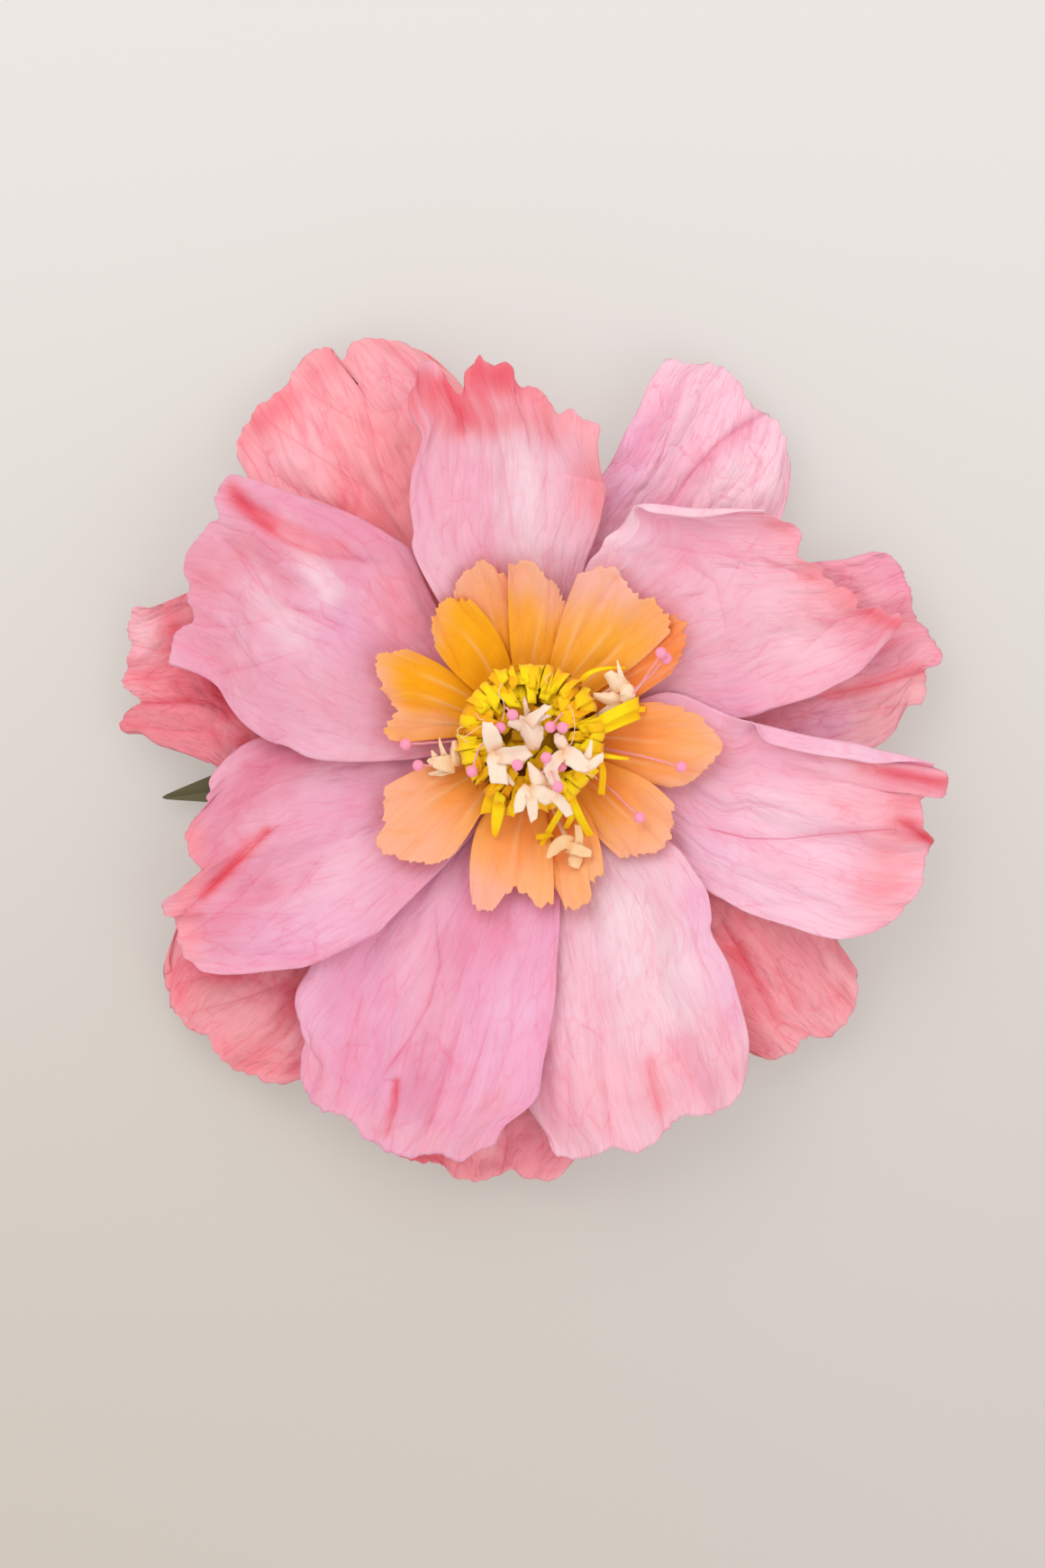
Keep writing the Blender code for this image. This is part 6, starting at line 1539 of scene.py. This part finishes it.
def addFlorets():
    stalk = stalkForm
    for i, form in enumerate(florets):
        floret = Assembly("floret%d" % (i + 1), [creamPaper, threadFinish])
        if form["inner"]:
            cup = stamenForm["top"] + form["over"]
            foot = polar(form["foot"], stalk["start"], stalk["foot"])
            middle = polar(form["foot"], stalk["start"], cup - stalk["below"])
        else:
            start = outerFoot(form["foot"], stalk["radius"])
            cup = orangeTopAt(form["radius"]) + form["over"]
            foot = polar(form["foot"], start, orangeTopAt(start) + stalk["lift"])
            half = start + (form["radius"] - start) / 2
            turned = form["foot"] + 0.6 * (form["bearing"] - form["foot"])
            middle = polar(turned, half, orangeTopAt(half) + stalk["lift"])
        end = polar(form["bearing"], form["radius"], cup)
        floret.tube([foot, middle, end.lerp(middle, 0.3), end + Vector((0, 0, stalk["lift"]))],
                    stalk["radii"], stalk["colour"], 1)
        chance = random.Random(i + 21)
        tone = np.array(form["tone"])
        for k, (points, widths) in enumerate(form["blades"]):
            shift = chance.uniform(-6, 3)
            light = tuple(np.clip(tone + shift, 0, 255))
            # each blade is warmer towards its root: painted orange reflection from the petals below
            bounceColour = tuple(np.clip(tone + np.array(stalk["orangeBounce"]) + shift, 0, 255))
            floret.strip([(x, y, z + cup) for x, y, z in points], widths,
                         [bounceColour, light, light, tuple(np.clip(tone + 4, 0, 255))],
                         cup=chance.uniform(0.05, 0.45) * chance.choice([-1, 1, 1]),
                         fold=chance.choice([0, 0.35, -0.4]), twist=chance.uniform(-0.35, 0.35),
                         skew=chance.uniform(-0.6, 0.6), rows=16, columns=6, thick=stalk["thick"],
                         edge=stalk["edge"], seed=k + 7.0 * i)
        floret.finish("floret_%d" % (i + 1), "floret_paper")


cardForm = {"radius": 24.0, "thick": 2.0, "soft": 0.3, "colour": (226, 208, 182),
            "fibre": (204, 184, 156), "speck": (176, 152, 124), "grain": 0.00006}


def addCard():
    # the round card that everything is glued to, on the wall side
    card = Assembly("backingCard", [cardFinish()])
    r, t, e = cardForm["radius"], cardForm["thick"], cardForm["soft"]
    profile = [(0, 0), (r - e, 0), (r, e), (r, t - e), (r - e, t), (0, t)]
    verts = [card.bm.verts.new((x * mm, 0, z * mm)) for x, z in profile]
    edges = [card.bm.edges.new(pair) for pair in zip(verts, verts[1:])]
    bmesh.ops.spin(card.bm, geom=verts + edges, axis=(0, 0, 1), cent=(0, 0, 0), angle=math.tau, steps=96)
    bmesh.ops.remove_doubles(card.bm, verts=card.bm.verts, dist=1e-5)
    bmesh.ops.recalc_face_normals(card.bm, faces=card.bm.faces)
    card.part(list(card.bm.verts), 0, paint(cardForm["colour"]))
    piece = card.finish("backing_disc", "backing_card")
    for face in piece.data.polygons:
        face.use_smooth = False


def cardFinish():
    f = Finish("greyCard", 0.9)
    place = f.place()
    fibre = f.grain(f.stretched(place, (500, 2200, 500), 0.4), 1.0, 4.0, 0.65, 0.5)
    speck = f.grain(f.stretched(place, (900, 900, 900)), 1.0, 2.0)
    colour = f.mix(f.ramp(fibre, 0.35, 0.7) * 0.5, f.attribute("dyeAndShade"), paint(cardForm["fibre"]))
    f.put("Base Color", f.mix(f.ramp(speck, 0.62, 0.72) * 0.4, colour, paint(cardForm["speck"])))
    f.put("Roughness", 0.84 + 0.1 * fibre)
    f.bump(fibre * cardForm["grain"])
    return f.material


print("card and button")
addCard()
addCore()
print("fringe")
addFringe()
print("stamens and florets")
addStamens()
addFlorets()

# The camera, the light and the floor

# floorTop to floorBottom and the seen colours paint light falloff on the wall, darker towards the bottom
stageForm = {"look": (-0.00225, -0.0117, 2.02), "distance": 2.0, "height": 0.3915, "floor": 3,
             "floorTop": (225, 221, 217), "floorBottom": (203, 196, 189),
             "rise": (-0.24, 0.2), "aside": (-0.15, 0.15), "softShadow": 0.5,
             "seenTop": (236, 231, 227), "seenLeft": (209, 198, 186), "seenRight": (213, 205, 199),
             "lights": [("key", (-0.55, 0.95, 1.25), 7.4, 1.3), ("fill", (0.9, -0.5, 1.3), 3.2, 1.2)],
             "world": 0.85, "worldColour": (1.0, 0.985, 0.97, 1.0)}


def addStage():
    camera = bpy.data.objects.new("camera", bpy.data.cameras.new("camera"))
    camera.location = stageForm["look"]
    camera.data.sensor_width = 36
    camera.data.lens = camera.data.sensor_width * stageForm["distance"] / stageForm["height"]
    camera.data.clip_end = 10
    bpy.context.scene.collection.objects.link(camera)
    bpy.context.scene.camera = camera

    bm = bmesh.new()
    bmesh.ops.create_grid(bm, x_segments=1, y_segments=1, size=stageForm["floor"])
    mesh = bpy.data.meshes.new("floor")
    bm.to_mesh(mesh)
    bm.free()
    floor = bpy.data.objects.new("floor", mesh)
    bpy.context.scene.collection.objects.link(floor)
    f = Finish("wallWithPaintedLight", 0.9)
    high = f.node("ShaderNodeSeparateXYZ", {}, {0: f.place()}, 1)
    rise = f.ramp(high, *stageForm["rise"])
    # painted light falloff: the lit wall is darker towards the bottom
    f.put("Base Color", f.mix(rise, paint(stageForm["floorBottom"]), paint(stageForm["floorTop"])))
    # to the camera, half of the wall is an unlit glow, darker towards the bottom and most at the lower left:
    # painted light, which also lightens the flower's shadow so that it stays soft
    shown = [f.node("ShaderNodeLightPath", {}, {}, kind)
             for kind in ("Is Camera Ray", "Is Glossy Ray", "Is Transmission Ray")]
    seen = (shown[0] + shown[1] + shown[2]) * stageForm["softShadow"]
    aside = f.ramp(f.node("ShaderNodeSeparateXYZ", {}, {0: f.place()}, 0), *stageForm["aside"])
    below = f.mix(aside, paint(stageForm["seenLeft"]), paint(stageForm["seenRight"]))
    paintedGlow = f.node("ShaderNodeEmission", {}, {"Color": f.mix(rise, below, paint(stageForm["seenTop"]))})
    both = f.node("ShaderNodeMixShader", {}, {0: seen, 1: Socket(f, f.shader.outputs[0]), 2: paintedGlow})
    f.feed(f.tree.nodes["Material Output"].inputs["Surface"], both)
    floor.data.materials.append(f.material)

    for name, place, power, size in stageForm["lights"]:
        lamp = bpy.data.lights.new(name, "AREA")
        lamp.energy = power
        lamp.size = size
        light = bpy.data.objects.new(name, lamp)
        light.location = place
        light.rotation_mode = "QUATERNION"
        light.rotation_quaternion = (-Vector(place)).to_track_quat("-Z", "Y")
        bpy.context.scene.collection.objects.link(light)
    world = bpy.data.worlds.new("studio")
    world.use_nodes = True
    world.node_tree.nodes["Background"].inputs[0].default_value = stageForm["worldColour"]
    world.node_tree.nodes["Background"].inputs[1].default_value = stageForm["world"]
    bpy.context.scene.world = world
    bpy.context.scene.view_settings.view_transform = "Standard"


print("camera, light and floor")
addStage()
